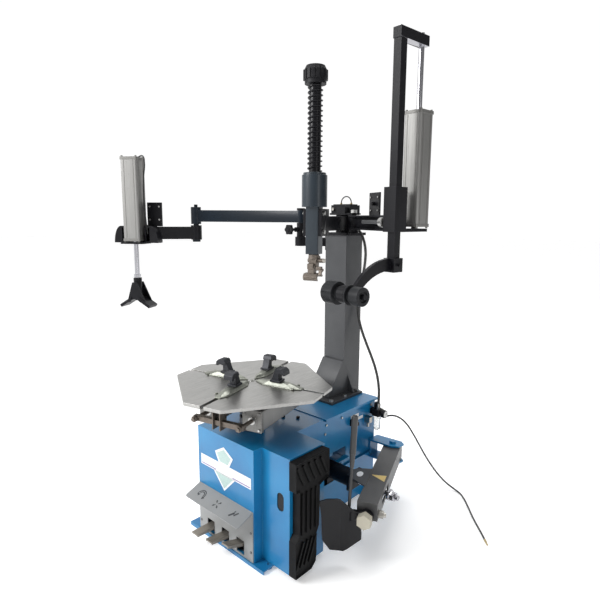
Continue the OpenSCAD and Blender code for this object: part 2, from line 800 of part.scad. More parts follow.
// forked press block that swivels on the end of the rod
module press_foot() {
  color([0.1, 0.1, 0.1]) translate([left_c[0], left_c[1], 0]) rotate([0, 0, left_turn - 6]) {
    difference() {
      translate([0, 0, 1086]) cylinder(d = 44, h = 76, $fn = 48);
      translate([0, 0, 1110]) cylinder(d = ram_rod_d + 0.1, h = 60, $fn = 48);
    }
    for (s = [-1, 1]) {
      translate([0, s * 30 + 4, 0]) rotate([90, 0, 0]) linear_extrude(8)
        polygon([[-14, 1138], [14, 1138], [62, 1036], [30, 1030], [16, 1046], [-16, 1046],
          [-30, 1030], [-48, 1030]]);
      // sloping pads
      translate([s * 58, 0, 1034]) rotate([0, s * 32, 0]) translate([-40, -38, -14])
        cube([80, 76, 16]);
    }
    translate([-34, -34, 1046]) cube([68, 68, 10]);
    translate([-20, -34, 1056]) cube([8, 68, 50]);
    translate([12, -34, 1056]) cube([8, 68, 50]);
  }
}

// ---- right helper arm ----

right_t = atan2(right_q[1] - right_p[1], right_q[0] - right_p[0]);
right_l = norm(right_q - right_p);

module at_post() {
  translate([right_q[0], right_q[1], 0]) rotate([0, 0, right_turn]) children();
}

// swinging beam with the guide for the post and the shelf for the ram
module right_beam() {
  color([0.14, 0.14, 0.16]) {
    difference() {
      union() {
        translate([right_p[0], right_p[1], 1433.5]) cylinder(d = 54, h = 72.5, $fn = 48);
        bar_from(right_p, right_t, right_l - 30, 46, 1434, 8);
        bar_from(right_p, right_t, right_l - 30, 66, 1497, 8);
        translate([right_p[0], right_p[1], 0]) rotate([0, 0, right_t])
          translate([20, -8, 1440]) cube([right_l - 60, 12, 60]);
      }
      translate([right_p[0], right_p[1], 1430]) cylinder(d = 25.1, h = 90, $fn = 48);
    }
    // square guide sleeve
    at_post() difference() {
      translate([0, 2, 1432]) round_block(70, 80, 194, 4);
      translate([-post_w / 2 - 0.4, -post_w / 2 - 0.4, 1420])
        cube([post_w + 0.8, post_w + 0.8, 220]);
    }
    // shelf under the ram
    at_post() difference() {
      translate([-34, 38, 1432]) cube([68, 160, 14]);
      translate([0, 146, 1425]) cylinder(d = 30, h = 30, $fn = 48);
    }
    // panel with the lift valve
    translate([right_p[0], right_p[1], 0]) rotate([0, 0, right_t])
      translate([right_l - 250, 4, 1504]) cube([100, 8, 108]);
  }
  // lock rod and its end ring in front of the beam
  color("WhiteSmoke") translate([right_p[0], right_p[1], 1474]) rotate([0, 0, right_t]) {
    translate([right_l - 250, -26, 0]) rotate([0, 90, 0]) cylinder(d = 20, h = 200, $fn = 32);
    translate([right_l - 54, -34, 0]) rotate([0, 90, 0]) difference() {
      cylinder(d = 46, h = 26, $fn = 48);
      translate([0, 0, 8]) cylinder(d = 30, h = 30, $fn = 48);
    }
  }
}

module right_post() {
  color([0.14, 0.14, 0.16]) at_post() {
    difference() {
      translate([-post_w / 2, -post_w / 2, 1256]) cube([post_w, post_w, 1020]);
      translate([-post_w / 2 + 4, -post_w / 2 + 4, 1250])
        cube([post_w - 8, post_w - 8, 1000]);
    }
    // top tie plate and its round nose over the rod
    translate([-22, -24, 2232]) cube([44, 196, 44]);
  }
  color("Silver") at_post() {
    translate([0, 0, 2275]) cylinder(d = 18, h = 10, $fn = 6);
    translate([0, 146, 2275]) cylinder(d = 26, h = 12, $fn = 6);
    translate([0, 146, 1826]) cylinder(d = ram_rod_d, h = 430, $fn = 48);
    translate([0, 146, 1816]) cylinder(d = ram_bore - 0.1, h = 26, $fn = 64);
  }
}

module right_ram() {
  color("LightGray") at_post() translate([0, 146, 1454]) {
    ram_body(ram_w, ram_bore, 508, ram_rod_d);
    translate([0, 0, -9]) cylinder(d = 29.9, h = 16, $fn = 48);
  }
}

// curved arm that carries both rollers
module roller_arm() {
  color([0.13, 0.13, 0.15]) at_post() {
    difference() {
      translate([-30, -30, 1255]) cube([60, 60, 62]);
      translate([-post_w / 2 - e, -post_w / 2 - e, 1256])
        cube([post_w + 2 * e, post_w + 2 * e, 70]);
    }
    // swept plate, an arc band in the upright plane
    translate([8, 0, 0]) rotate([90, 0, -90]) linear_extrude(16) difference() {
      intersection() {
        translate([28, 1027]) circle(r = 290, $fn = 96);
        translate([28, 1170]) square([290, 160]);
      }
      translate([36, 1000]) circle(r = 262, $fn = 96);
      translate([290, 1150]) square([60, 24]);
    }
    translate([-18, -300, 1181]) rotate([0, 90, 0]) cylinder(d = 74, h = 36, $fn = 64);
    translate([-112, -300, 1181]) rotate([0, 90, 0]) cylinder(d = 20, h = 220, $fn = 48);
  }
  color("Silver") at_post() {
    translate([30 - e, 0, 1286]) rotate([0, 90, 0]) cylinder(d = 14, h = 12, $fn = 6);
  }
}

module roller_large() {
  color([0.12, 0.12, 0.12]) at_post() translate([-108, -300, 1181]) rotate([0, 90, 0])
    difference() {
      union() {
        cylinder(d1 = 84, d2 = 98, h = 10, $fn = 64);
        translate([0, 0, 10 - e]) cylinder(d = 98, h = 60, $fn = 64);
        translate([0, 0, 69]) cylinder(d = 60, h = 16, $fn = 64);
      }
      translate([0, 0, -1]) cylinder(d = 20.1, h = 100, $fn = 48);
    }
}

module roller_small() {
  color([0.12, 0.12, 0.12]) at_post() translate([24, -300, 1181]) rotate([0, 90, 0])
    difference() {
      union() {
        cylinder(d = 86, h = 8, $fn = 64);
        translate([0, 0, 7]) cylinder(d = 56, h = 18, $fn = 64);
        translate([0, 0, 24]) cylinder(d = 78, h = 50, $fn = 64);
      }
      translate([0, 0, -1]) cylinder(d = 20.1, h = 120, $fn = 48);
      translate([0, 0, 66]) cylinder(d = 46, h = 20, $fn = 48);
    }
}

// ---- bead breaker ----

module at_breaker() {
  translate([brk_p[0], brk_p[1], 0]) rotate([0, 0, brk_turn]) children();
}

module breaker_bracket() {
  color("DodgerBlue") for (z = [brk_z + breaker_h + 1, brk_z - 11]) difference() {
    translate([0, 0, z]) linear_extrude(10)
      polygon([[hx, 392], [330, 400], [362, 424], [366, 470], [340, 488], [hx, 470]]);
    translate([brk_p[0], brk_p[1], z - 1]) cylinder(d = 24, h = 20, $fn = 48);
  }
  color("Silver") {
    translate([brk_p[0], brk_p[1], brk_z - 20]) cylinder(d = 24, h = 122, $fn = 48);
    translate([brk_p[0], brk_p[1], brk_z + breaker_h + 11]) cylinder(d = 40, h = 14, $fn = 6);
    translate([brk_p[0], brk_p[1], brk_z - 24]) cylinder(d = 40, h = 13, $fn = 6);
  }
  // web that joins both plates to the cabinet
  color("DodgerBlue") translate([hx, 396, brk_z - 2]) cube([8, 72, breaker_h + 4]);
}

// horizontal ram that reaches out of the cabinet side
module breaker_ram() {
  color([0.12, 0.12, 0.14]) translate([100, rod_y, rod_z]) rotate([0, 90, 0]) difference() {
    union() {
      cylinder(d = breaker_d, h = 240, $fn = 64);
      round_block(84, 104, 14, 8);
      translate([0, 0, 226]) round_block(84, 104, 14, 8);
    }
    translate([0, 0, 14]) cylinder(d = 70, h = 212, $fn = 64);
    translate([0, 0, 200]) cylinder(d = 24.1, h = 60, $fn = 48);
  }
  // saddle that carries the ram inside the cabinet
  color("SlateGray") {
    translate([130, rod_y - 32, 150]) cube([61, 64, 60]);
    translate([-hx + 40, rod_y - 30, 170]) cube([230, 60, 14]);
  }
}

module breaker_rod() {
  color("WhiteSmoke") translate([0, rod_y, rod_z]) rotate([0, 90, 0]) {
    translate([0, 0, 236]) cylinder(d = 24, h = 344, $fn = 48);
    translate([0, 0, 214]) cylinder(d = 69.9, h = 24, $fn = 64);
    translate([0, 0, 540]) cylinder(d = 46, h = 22, $fn = 6);
    translate([0, 0, 530]) cylinder(d = 52, h = 10, $fn = 48);
  }
}

// inverted channel with a wing for the ram side and a block for the blade shaft
module breaker_arm() {
  color([0.2, 0.2, 0.22]) at_breaker() difference() {
    union() {
      translate([-40, -45, brk_z]) cube([brk_len + 40, 90, breaker_h]);
      // wing toward the cabinet
      translate([0, 0, brk_z + breaker_h - 2]) linear_extrude(6)
        polygon([[300, -40], [468, -40], [420, -118], [346, -132], [322, -112]]);
    }
    translate([40, -37, brk_z - 1]) cube([brk_len - 116, 74, breaker_h - 7]);
    translate([0, 0, brk_z - 1]) cylinder(d = 24.1, h = breaker_h + 2, $fn = 48);
    // slot for the ram rod
    translate([346, -60, rod_z - 16]) cube([138, 120, 32]);
    // bore for the blade shaft
    translate([brk_len - 90, 0, 238]) rotate([0, 90, 0]) cylinder(d = 36, h = 100, $fn = 48);
  }
}

// shaft at the arm end with its large hexagon head and the side clamp bolt
module breaker_pivot() {
  color("Linen") at_breaker() translate([0, 0, 238]) {
    translate([brk_len - 88, 0, 0]) rotate([0, 90, 0]) cylinder(d = 35.9, h = 124, $fn = 48);
    translate([brk_len + 28, 0, 0]) rotate([0, 90, 0]) cylinder(d = 68, h = 34, $fn = 6);
  }
  color("Silver") at_breaker() translate([brk_len - 26, 45, 238]) rotate([-90, 0, 0]) {
    cylinder(d = 34, h = 22, $fn = 6);
    translate([0, 0, 20]) cylinder(d = 20, h = 12, $fn = 24);
  }
}

// outline of one half of the shovel blade
module blade_inner() {
  polygon([[0, 165], [0, 134], [61, 76], [78, 64], [96, 64], [96, 301], [73, 285], [48, 268],
    [9, 252]]);
}

module blade_outer() {
  polygon([[94, 64], [94, 301], [108, 306], [150, 308], [186, 300], [176, 225], [172, 120],
    [138, 72]]);
}

// remove the room of the blade shaft and its head from children
module clear_shaft() {
  difference() {
    union() children();
    at_breaker() translate([brk_len - 10, 0, 238]) rotate([0, 90, 0]) {
      cylinder(d = 36, h = 60, $fn = 48);
      translate([0, 0, 36]) cylinder(d = 74, h = 60, $fn = 48);
    }
  }
}

module breaker_blade() {
  color([0.13, 0.13, 0.14]) {
    at_breaker() translate([brk_len + 3, 0, 238]) rotate([0, 90, 0]) difference() {
      union() {
        cylinder(d = 62, h = 22, $fn = 48);
        translate([-18, -58, 0]) cube([36, 58, 22]);
      }
      translate([0, 0, -1]) cylinder(d = 36, h = 24, $fn = 48);
    }
    clear_shaft() translate([530, -126, 0]) rotate([0, 0, 216]) {
      rotate([0, 0, -9]) rotate([90, 0, 0]) translate([0, 0, -8]) linear_extrude(9) blade_inner();
      translate([94, -14, 0]) rotate([0, 0, 14]) translate([-94, 0, 0])
        rotate([90, 0, 0]) translate([0, 0, -8]) linear_extrude(9) blade_outer();
      // stiffening lug behind the blade
      translate([-12, -10, 214]) cube([66, 12, 44]);
    }
  }
}

module blade_handle() {
  p = [468, -134, 282];
  q = [443, -74, 651];
  v = q - p;
  color([0.2, 0.2, 0.2]) translate(p)
    rotate([0, acos(v[2] / norm(v)), atan2(v[1], v[0])]) {
      translate([0, 0, -34]) cylinder(d = 14, h = 250, $fn = 32);
      translate([0, 0, 150]) cylinder(d1 = 18, d2 = 26, h = 60, $fn = 32);
      translate([0, 0, 208]) cylinder(d = 28, h = norm(v) - 214, $fn = 32);
      translate([0, 0, norm(v) - 8]) cylinder(d1 = 28, d2 = 18, h = 8, $fn = 32);
    }
}

// ---- air supply ----

module air_regulator() {
  color([0.12, 0.12, 0.13]) {
    translate([232, 410, 448]) round_block(46, 46, 36, 8);
    translate([227, 415, 482]) cylinder(d = 34, h = 28, $fn = 48);
    translate([227, 415, 508]) cylinder(d = 27, h = 10, $fn = 48);
    translate([hx, 396, 452]) cube([18, 28, 30]);
  }
}

module filter_bowl() {
  color("Gainsboro") {
    translate([232, 410, 428]) cylinder(d = 40, h = 20, $fn = 48);
    translate([232, 410, 374]) cylinder(d = 34, h = 56, $fn = 48);
    translate([232, 410, 364]) cylinder(d1 = 14, d2 = 30, h = 11, $fn = 48);
  }
}

module pressure_gauge() {
  color([0.15, 0.15, 0.16]) {
    translate([255, 410, 466]) rotate([0, 90, 0]) cylinder(d = 12, h = 11, $fn = 24);
    translate([265, 410, 466]) rotate([0, 90, 0]) cylinder(d = 42, h = 20, $fn = 48);
  }
}

module air_fittings() {
  color("Goldenrod") {
    translate([232, 433, 466]) rotate([-90, 0, 0]) cylinder(d = 16, h = 15, $fn = 24);
    translate([232, 452, 458]) cube([20, 20, 20], center = true);
    translate([238, 452, 440]) cube([18, 18, 26], center = true);
    translate([244, 452, 437]) rotate([0, 90, 0]) cylinder(d = 18, h = 18, $fn = 6);
    translate([245, 398, 500]) cylinder(d = 13, h = 20, $fn = 6);
    translate([240, 392.5, 484]) cube([11, 10, 17]);
    // branch block on the cabinet side
    translate([hx, 344, 420]) cube([34, 26, 30]);
    translate([hx + 16, 357, 394]) cylinder(d = 16, h = 28, $fn = 6);
    translate([hx + 16, 368, 436]) rotate([-90, 0, 0]) cylinder(d = 12, h = 22, $fn = 24);
  }
}

module head_hose() {
  color([0.1, 0.1, 0.1]) hose(refine(head_route, 3), 14, 10);
}

module supply_hose() {
  color([0.1, 0.1, 0.1]) hose(refine(supply_route, 4), 9, 10);
}

// quick connect plug at the floor end of the supply hose
module hose_plug() {
  color("Goldenrod") translate([850, 416, 5]) rotate([0, 0, -49]) rotate([0, 90, 0]) {
    cylinder(d = 10, h = 12, $fn = 24);
    translate([0, 0, 11]) cylinder(d = 9.6, h = 10, $fn = 6);
    translate([0, 0, 20]) cylinder(d = 7.8, h = 18, $fn = 32);
  }
}

cabinet_shell();
base_skids();
bead_pad();
pedal_hood();
pedal_frame();
pedal_left();
pedal_middle();
pedal_right();
motor();
gearbox();
column_post();
column_bolts();
column_head();
air_regulator();
filter_bowl();
pressure_gauge();
air_fittings();
head_hose();
supply_hose();
hose_plug();
table_plate();
table_spindle();
jaw_front();
jaw_right();
jaw_rear();
jaw_left();
claw_front();
claw_right();
claw_rear();
claw_left();
clamp_bar_front();
clamp_bar_rear();
clamp_rams();
breaker_bracket();
breaker_ram();
breaker_rod();
breaker_arm();
breaker_blade();
breaker_pivot();
blade_handle();
swing_arm();
tool_guide();
tool_shaft();
tool_spring();
tool_cap();
mount_head();
left_bracket();
lock_knob();
left_link();
left_fork();
press_ram();
press_rod();
press_foot();
right_beam();
right_post();
right_ram();
roller_arm();
roller_large();
roller_small();
control_valves();
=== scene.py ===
import json
import math

import bmesh
import bpy
from mathutils import Matrix, Vector


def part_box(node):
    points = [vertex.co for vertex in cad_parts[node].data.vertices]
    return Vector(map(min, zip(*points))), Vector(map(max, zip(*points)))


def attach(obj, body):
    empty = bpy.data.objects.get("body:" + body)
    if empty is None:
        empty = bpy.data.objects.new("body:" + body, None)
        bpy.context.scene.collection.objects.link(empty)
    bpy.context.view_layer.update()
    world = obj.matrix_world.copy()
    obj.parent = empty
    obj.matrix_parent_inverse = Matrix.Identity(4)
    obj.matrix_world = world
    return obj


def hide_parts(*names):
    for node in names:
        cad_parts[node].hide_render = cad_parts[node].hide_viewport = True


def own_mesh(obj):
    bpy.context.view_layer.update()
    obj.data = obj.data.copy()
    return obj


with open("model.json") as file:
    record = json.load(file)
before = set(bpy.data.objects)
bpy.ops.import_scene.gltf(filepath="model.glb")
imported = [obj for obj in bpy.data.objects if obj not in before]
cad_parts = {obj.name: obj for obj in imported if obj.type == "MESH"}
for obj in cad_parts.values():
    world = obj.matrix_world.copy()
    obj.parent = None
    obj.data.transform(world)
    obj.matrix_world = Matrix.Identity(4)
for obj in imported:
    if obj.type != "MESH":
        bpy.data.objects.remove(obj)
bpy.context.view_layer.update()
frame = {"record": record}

RECORD = frame["record"]
BODY = {node: body for body, nodes in RECORD["behaviour"]["bodies"].items() for node in nodes}
SLOT = {part["node"]: part["material_slot"] for part in RECORD["subparts"]}
scene = bpy.context.scene


# ---------------------------------------------------------------- finishes

class Term:
    """A value on its way to a socket."""

    def __init__(self, finish, socket):
        self.finish = finish
        self.socket = socket

    def sum(self, how, first, second):
        return self.finish.node("ShaderNodeMath", {"operation": how}, {0: first, 1: second})

    def __add__(self, other):
        return self.sum("ADD", self, other)

    def __radd__(self, other):
        return self.sum("ADD", other, self)

    def __sub__(self, other):
        return self.sum("SUBTRACT", self, other)

    def __rsub__(self, other):
        return self.sum("SUBTRACT", other, self)

    def __mul__(self, other):
        return self.sum("MULTIPLY", self, other)

    def __rmul__(self, other):
        return self.sum("MULTIPLY", other, self)


class Finish:
    """One surface finish and the nodes that make it."""

    def __init__(self, name, **fixed):
        self.material = bpy.data.materials.new(name)
        self.material.use_nodes = True
        self.tree = self.material.node_tree
        self.shader = self.tree.nodes["Principled BSDF"]
        for socket, value in fixed.items():
            self.shader.inputs[socket.replace("_", " ")].default_value = value

    def node(self, kind, settings=None, feeds=None, out=0):
        made = self.tree.nodes.new(kind)
        for key, value in (settings or {}).items():
            setattr(made, key, value)
        for key, value in (feeds or {}).items():
            self.feed(made.inputs[key], value)
        return Term(self, made.outputs[out])

    def feed(self, socket, value):
        if isinstance(value, Term):
            self.tree.links.new(value.socket, socket)
        elif isinstance(value, tuple) and len(value) == 3 and socket.type == "RGBA":
            socket.default_value = (*value, 1)
        else:
            socket.default_value = value

    def wear(self, **sockets):
        for socket, value in sockets.items():
            self.feed(self.shader.inputs[socket.replace("_", " ")], value)
        return self

    def place(self, stretch=(1, 1, 1), turn=(0, 0, 0)):
        spot = self.node("ShaderNodeTexCoord", out="Object")
        return self.node("ShaderNodeMapping", {}, {"Vector": spot, "Rotation": turn, "Scale": stretch})

    def noise(self, scale, detail=3.0, stretch=(1, 1, 1), turn=(0, 0, 0), rough=0.55):
        return self.node("ShaderNodeTexNoise", {"noise_dimensions": "3D"}, {
            "Vector": self.place(stretch, turn), "Scale": scale, "Detail": detail, "Roughness": rough})

    def step(self, value, low, high, bottom=0.0, top=1.0):
        return self.node("ShaderNodeMapRange", {"interpolation_type": "SMOOTHSTEP"}, {
            "Value": value, "From Min": low, "From Max": high, "To Min": bottom, "To Max": top})

    def tint(self, mask, first, second):
        return self.node("ShaderNodeMix", {"data_type": "RGBA"}, {0: mask, 6: first, 7: second}, out=2)

    def edges(self, radius):
        soft = self.node("ShaderNodeBevel", {"samples": 4}, {"Radius": radius})
        flat = self.node("ShaderNodeNewGeometry", out="Normal")
        return 1 - self.node("ShaderNodeVectorMath", {"operation": "DOT_PRODUCT"}, {0: soft, 1: flat}, out="Value")

    def bump(self, height, strength, distance):
        return self.node("ShaderNodeBump", {}, {"Height": height, "Strength": strength, "Distance": distance})


def gloss_paint(name, colour, deep, rough, coat, edge, peel=0.12, shine=0.5):
    """Sprayed machine paint: uneven tone, orange peel, dust, and edges tinted partly as rubbed wear and partly as a
    painted highlight.
    """
    f = Finish(name, Coat_Weight=coat, Coat_Roughness=0.12, Specular_IOR_Level=shine)
    cloud = f.noise(4.0, 3.0)
    grain = f.noise(260.0, 2.0)
    scuffs = f.step(f.noise(38.0, 5.0, (1, 1, 0.25), (0.3, 0.2, 0.5)), 0.66, 0.78)
    # edges tinted towards the edge colour, mostly a lighter tone: partly rubbed wear, partly a painted highlight
    worn_and_highlit_edges = f.step(f.edges(0.003) + (f.noise(70.0, 3.0) - 0.5) * 0.10, 0.06, 0.22)
    base = f.tint(f.step(cloud, 0.3, 0.7), colour, deep)
    base = f.tint(scuffs * 0.25, base, tuple(0.6 * c + 0.4 * e for c, e in zip(colour, edge)))
    base = f.tint(worn_and_highlit_edges * 0.55, base, edge)
    return f.wear(Base_Color=base, Roughness=rough + 0.12 * grain + 0.18 * scuffs,
                  Normal=f.bump(f.noise(420.0, 1.0), peel, 0.0006))


def ground_metal(name, colour, dark, rough, stretch, scale, metal=1.0, streak=0.35, blotch=3.0):
    """Machined or drawn metal with streaks along one direction; on the chrome the dark streaks are painted
    reflection bands.
    """
    f = Finish(name, Metallic=metal)
    lines = f.noise(scale, 4.0, stretch, rough=0.7)
    cloud = f.noise(blotch, 4.0)
    spots = f.step(f.noise(55.0, 5.0), 0.62, 0.75)
    base = f.tint(f.step(lines, 0.32, 0.68) * streak + 0.35 * f.step(cloud, 0.35, 0.75), colour, dark)
    base = f.tint(spots * 0.22, base, dark)
    return f.wear(Base_Color=base, Roughness=rough + 0.22 * lines + 0.12 * spots,
                  Normal=f.bump(lines, 0.10, 0.0004))


def moulded(name, colour, pale, rough, pebble=900.0, strength=0.3):
    """Rubber or plastic with a pebbled skin, pale dust, and paler edges that are partly wear and partly a painted
    highlight.
    """
    f = Finish(name, Specular_IOR_Level=0.16)
    dust = f.step(f.noise(16.0, 5.0), 0.45, 0.8)
    skin = f.noise(pebble, 2.0)
    # pale dust plus paler edges; the edges are partly wear, partly a painted highlight
    base = f.tint(dust * 0.55 + f.step(f.edges(0.004), 0.03, 0.25) * 0.30, colour, pale)
    return f.wear(Base_Color=base, Roughness=rough + 0.15 * skin, Normal=f.bump(skin, strength, 0.0006))


def tube_skin(name, colour, pale, rough):
    f = Finish(name)
    lines = f.noise(120.0, 3.0)
    return f.wear(Base_Color=f.tint(f.step(lines, 0.4, 0.8), colour, pale), Roughness=rough + 0.1 * lines,
                  Normal=f.bump(lines, 0.2, 0.0003))


# the last colour of each gloss paint is its edge colour, mostly lighter than the paint: partly wear, partly a
# painted highlight
BLUE = gloss_paint("machine_blue", (0.008, 0.195, 0.420), (0.004, 0.145, 0.350), 0.24, 0.3, (0.12, 0.38, 0.58),
                  shine=0.4)
SKID_BLUE = gloss_paint("skid_blue", (0.010, 0.180, 0.390), (0.006, 0.120, 0.290), 0.34, 0.2, (0.16, 0.34, 0.48))
HOOD_GREY = gloss_paint("hood_grey", (0.27, 0.275, 0.275), (0.225, 0.23, 0.23), 0.42, 0.08, (0.42, 0.42, 0.41), 0.3)
BLACK = gloss_paint("satin_black", (0.009, 0.009, 0.011), (0.005, 0.005, 0.007), 0.32, 0.04,
                    (0.07, 0.07, 0.08), 0.25, 0.16)
POST_GREY = gloss_paint("post_grey", (0.050, 0.052, 0.056), (0.035, 0.037, 0.041), 0.40, 0.12,
                        (0.16, 0.16, 0.17), 0.3)
SLATE = gloss_paint("slate_black", (0.024, 0.034, 0.044), (0.014, 0.021, 0.029), 0.26, 0.12,
                    (0.14, 0.16, 0.18), 0.2, 0.35)
DEEP_SLATE = gloss_paint("deep_slate", (0.010, 0.017, 0.026), (0.007, 0.011, 0.017), 0.28, 0.06,
                         (0.10, 0.12, 0.14), 0.2, 0.2)
GREY_ARM = gloss_paint("arm_grey", (0.060, 0.060, 0.061), (0.036, 0.037, 0.039), 0.40, 0.10,
                       (0.22, 0.21, 0.19), 0.3)
CREAM = gloss_paint("cream_enamel", (0.52, 0.49, 0.40), (0.42, 0.39, 0.31), 0.5, 0.05, (0.36, 0.32, 0.24), 0.3)
PLATE_STEEL = ground_metal("turned_plate", (0.42, 0.415, 0.40), (0.25, 0.25, 0.245), 0.24, (1, 0.05, 1), 240.0,
                           streak=0.45)
ZINC = ground_metal("zinc_plate", (0.50, 0.50, 0.49), (0.28, 0.28, 0.27), 0.22, (1, 1, 1), 60.0)
JAW_STEEL = ground_metal("jaw_steel", (0.33, 0.34, 0.30), (0.19, 0.20, 0.175), 0.34, (1, 1, 0.3), 90.0, streak=0.3)
# painted reflection: the dark streaks along the chrome stand for reflected bands
CHROME = ground_metal("hard_chrome", (0.52, 0.52, 0.55), (0.30, 0.30, 0.33), 0.08, (1, 1, 0.05), 140.0, streak=0.2)
ALLOY = ground_metal("drawn_alloy", (0.30, 0.297, 0.288), (0.21, 0.207, 0.20), 0.40, (1, 1, 0.02), 260.0,
                     metal=0.85)
END_CAP = ground_metal("cast_cap", (0.24, 0.235, 0.225), (0.13, 0.13, 0.125), 0.44, (1, 1, 1), 180.0, metal=0.7)
BRONZE = ground_metal("cast_bronze_steel", (0.200, 0.170, 0.145), (0.085, 0.072, 0.062), 0.36, (1, 1, 1), 120.0,
                      metal=0.75)
PEDAL_STEEL = ground_metal("worn_pedal", (0.34, 0.31, 0.27), (0.17, 0.155, 0.135), 0.36, (1, 0.08, 1), 160.0,
                           metal=0.7)
CAST = ground_metal("grey_casting", (0.20, 0.20, 0.21), (0.10, 0.10, 0.11), 0.55, (1, 1, 1), 200.0, metal=0.4)
BRASS = ground_metal("brass_fitting", (0.52, 0.42, 0.24), (0.30, 0.24, 0.13), 0.22, (1, 1, 1), 120.0)
NICKEL = ground_metal("nickel_fitting", (0.52, 0.50, 0.46), (0.24, 0.23, 0.21), 0.2, (1, 1, 1), 120.0)
CLAW_STEEL = ground_metal("forged_claw", (0.040, 0.042, 0.050), (0.018, 0.019, 0.023), 0.36, (1, 1, 1), 140.0,
                          metal=0.4)
RUBBER = moulded("black_rubber", (0.0028, 0.0028, 0.0034), (0.013, 0.013, 0.013), 0.50)
PLASTIC = moulded("black_plastic", (0.009, 0.009, 0.011), (0.034, 0.034, 0.036), 0.40, 1400.0, 0.15)
ROLLER_SKIN = moulded("roller_nylon", (0.014, 0.015, 0.017), (0.050, 0.050, 0.054), 0.34, 700.0, 0.15)
BLADE_BLACK = gloss_paint("blade_black", (0.004, 0.004, 0.006), (0.010, 0.010, 0.012), 0.26, 0.08,
                          (0.12, 0.12, 0.13), 0.4, 0.20)
HOSE = tube_skin("hose_rubber", (0.020, 0.020, 0.021), (0.075, 0.073, 0.070), 0.46)
# painted shade for the hollow behind the hand slot
HOLE_SHADE = tube_skin("painted_hole_shade", (0.010, 0.011, 0.013), (0.030, 0.030, 0.034), 0.8)
MARK_DARK = tube_skin("printed_mark", (0.035, 0.036, 0.040), (0.070, 0.070, 0.075), 0.6)
LABEL_WHITE = tube_skin("blank_label", (0.78, 0.79, 0.80), (0.66, 0.66, 0.66), 0.45)
LABEL_VIOLET = tube_skin("violet_stripe", (0.22, 0.16, 0.34), (0.30, 0.24, 0.40), 0.45)
LABEL_SAGE = tube_skin("sage_label", (0.42, 0.55, 0.52), (0.34, 0.46, 0.46), 0.45)
LABEL_AMBER = tube_skin("amber_label", (0.72, 0.52, 0.16), (0.56, 0.44, 0.22), 0.5)
DIAL_WHITE = tube_skin("gauge_dial", (0.80, 0.80, 0.78), (0.62, 0.62, 0.62), 0.3)

BOWL = Finish("clear_bowl", Roughness=0.06, IOR=1.46, Transmission_Weight=0.85)
BOWL.wear(Base_Color=BOWL.tint(BOWL.step(BOWL.noise(40.0), 0.4, 0.8), (0.86, 0.88, 0.88), (0.70, 0.73, 0.73)))

SLOT_FINISH = {
    "blue": BLUE, "skid_blue": SKID_BLUE, "rubber": RUBBER, "grey_paint": HOOD_GREY, "dark_steel": CLAW_STEEL,
    "steel": PEDAL_STEEL, "cast": CAST, "black_paint": BLACK, "zinc": ZINC, "black_plastic": PLASTIC,
    "clear_bowl": BOWL, "brass": BRASS, "bronze_steel": BRONZE, "aluminium": ALLOY, "chrome": CHROME,
    "cream": CREAM}
NODE_FINISH = {
    "table_plate": PLATE_STEEL, "tool_guide": SLATE, "left_link": DEEP_SLATE, "column_post": POST_GREY,
    "breaker_arm": GREY_ARM, "blade_handle": GREY_ARM,
    "jaw_front": JAW_STEEL, "jaw_right": JAW_STEEL, "jaw_rear": JAW_STEEL,
    "jaw_left": JAW_STEEL, "roller_large": ROLLER_SKIN, "roller_small": ROLLER_SKIN,
    "breaker_blade": BLADE_BLACK, "breaker_ram": BLACK, "tool_shaft": ZINC, "air_fittings": NICKEL,
    "press_foot": BLACK}


# ---------------------------------------------------------------- camera, light and floor

def place_camera():
    turn = math.radians(42.373)
    tip = math.radians(9.060)
    roll = math.radians(0.436)
    ahead = Vector((-math.sin(turn) * math.cos(tip), math.cos(turn) * math.cos(tip), -math.sin(tip)))
    right = Vector((math.cos(turn), math.sin(turn), 0))
    up = right.cross(ahead)
    rolled_right = math.cos(roll) * right + math.sin(roll) * up
    rolled_up = -math.sin(roll) * right + math.cos(roll) * up
    lens = bpy.data.cameras.new("camera")
    lens.sensor_width = 36.0
    lens.lens = 29.877
    lens.shift_x = -0.0119
    lens.shift_y = -0.0029
    camera = bpy.data.objects.new("camera", lens)
    camera.matrix_world = Matrix((
        (rolled_right.x, rolled_up.x, -ahead.x, 1.6643),
        (rolled_right.y, rolled_up.y, -ahead.y, -1.7262),
        (rolled_right.z, rolled_up.z, -ahead.z, 1.4863),
        (0, 0, 0, 1)))
    scene.collection.objects.link(camera)
    scene.camera = camera


def place_lamp(name, spot, aim, size, power, colour=(1, 1, 1)):
    lamp = bpy.data.lights.new(name, "AREA")
    lamp.shape = "RECTANGLE"
    lamp.size = size[0]
    lamp.size_y = size[1]
    lamp.energy = power
    lamp.color = colour
    thing = bpy.data.objects.new(name, lamp)
    thing.location = spot
    thing.rotation_euler = (Vector(aim) - Vector(spot)).to_track_quat("-Z", "Y").to_euler()
    scene.collection.objects.link(thing)


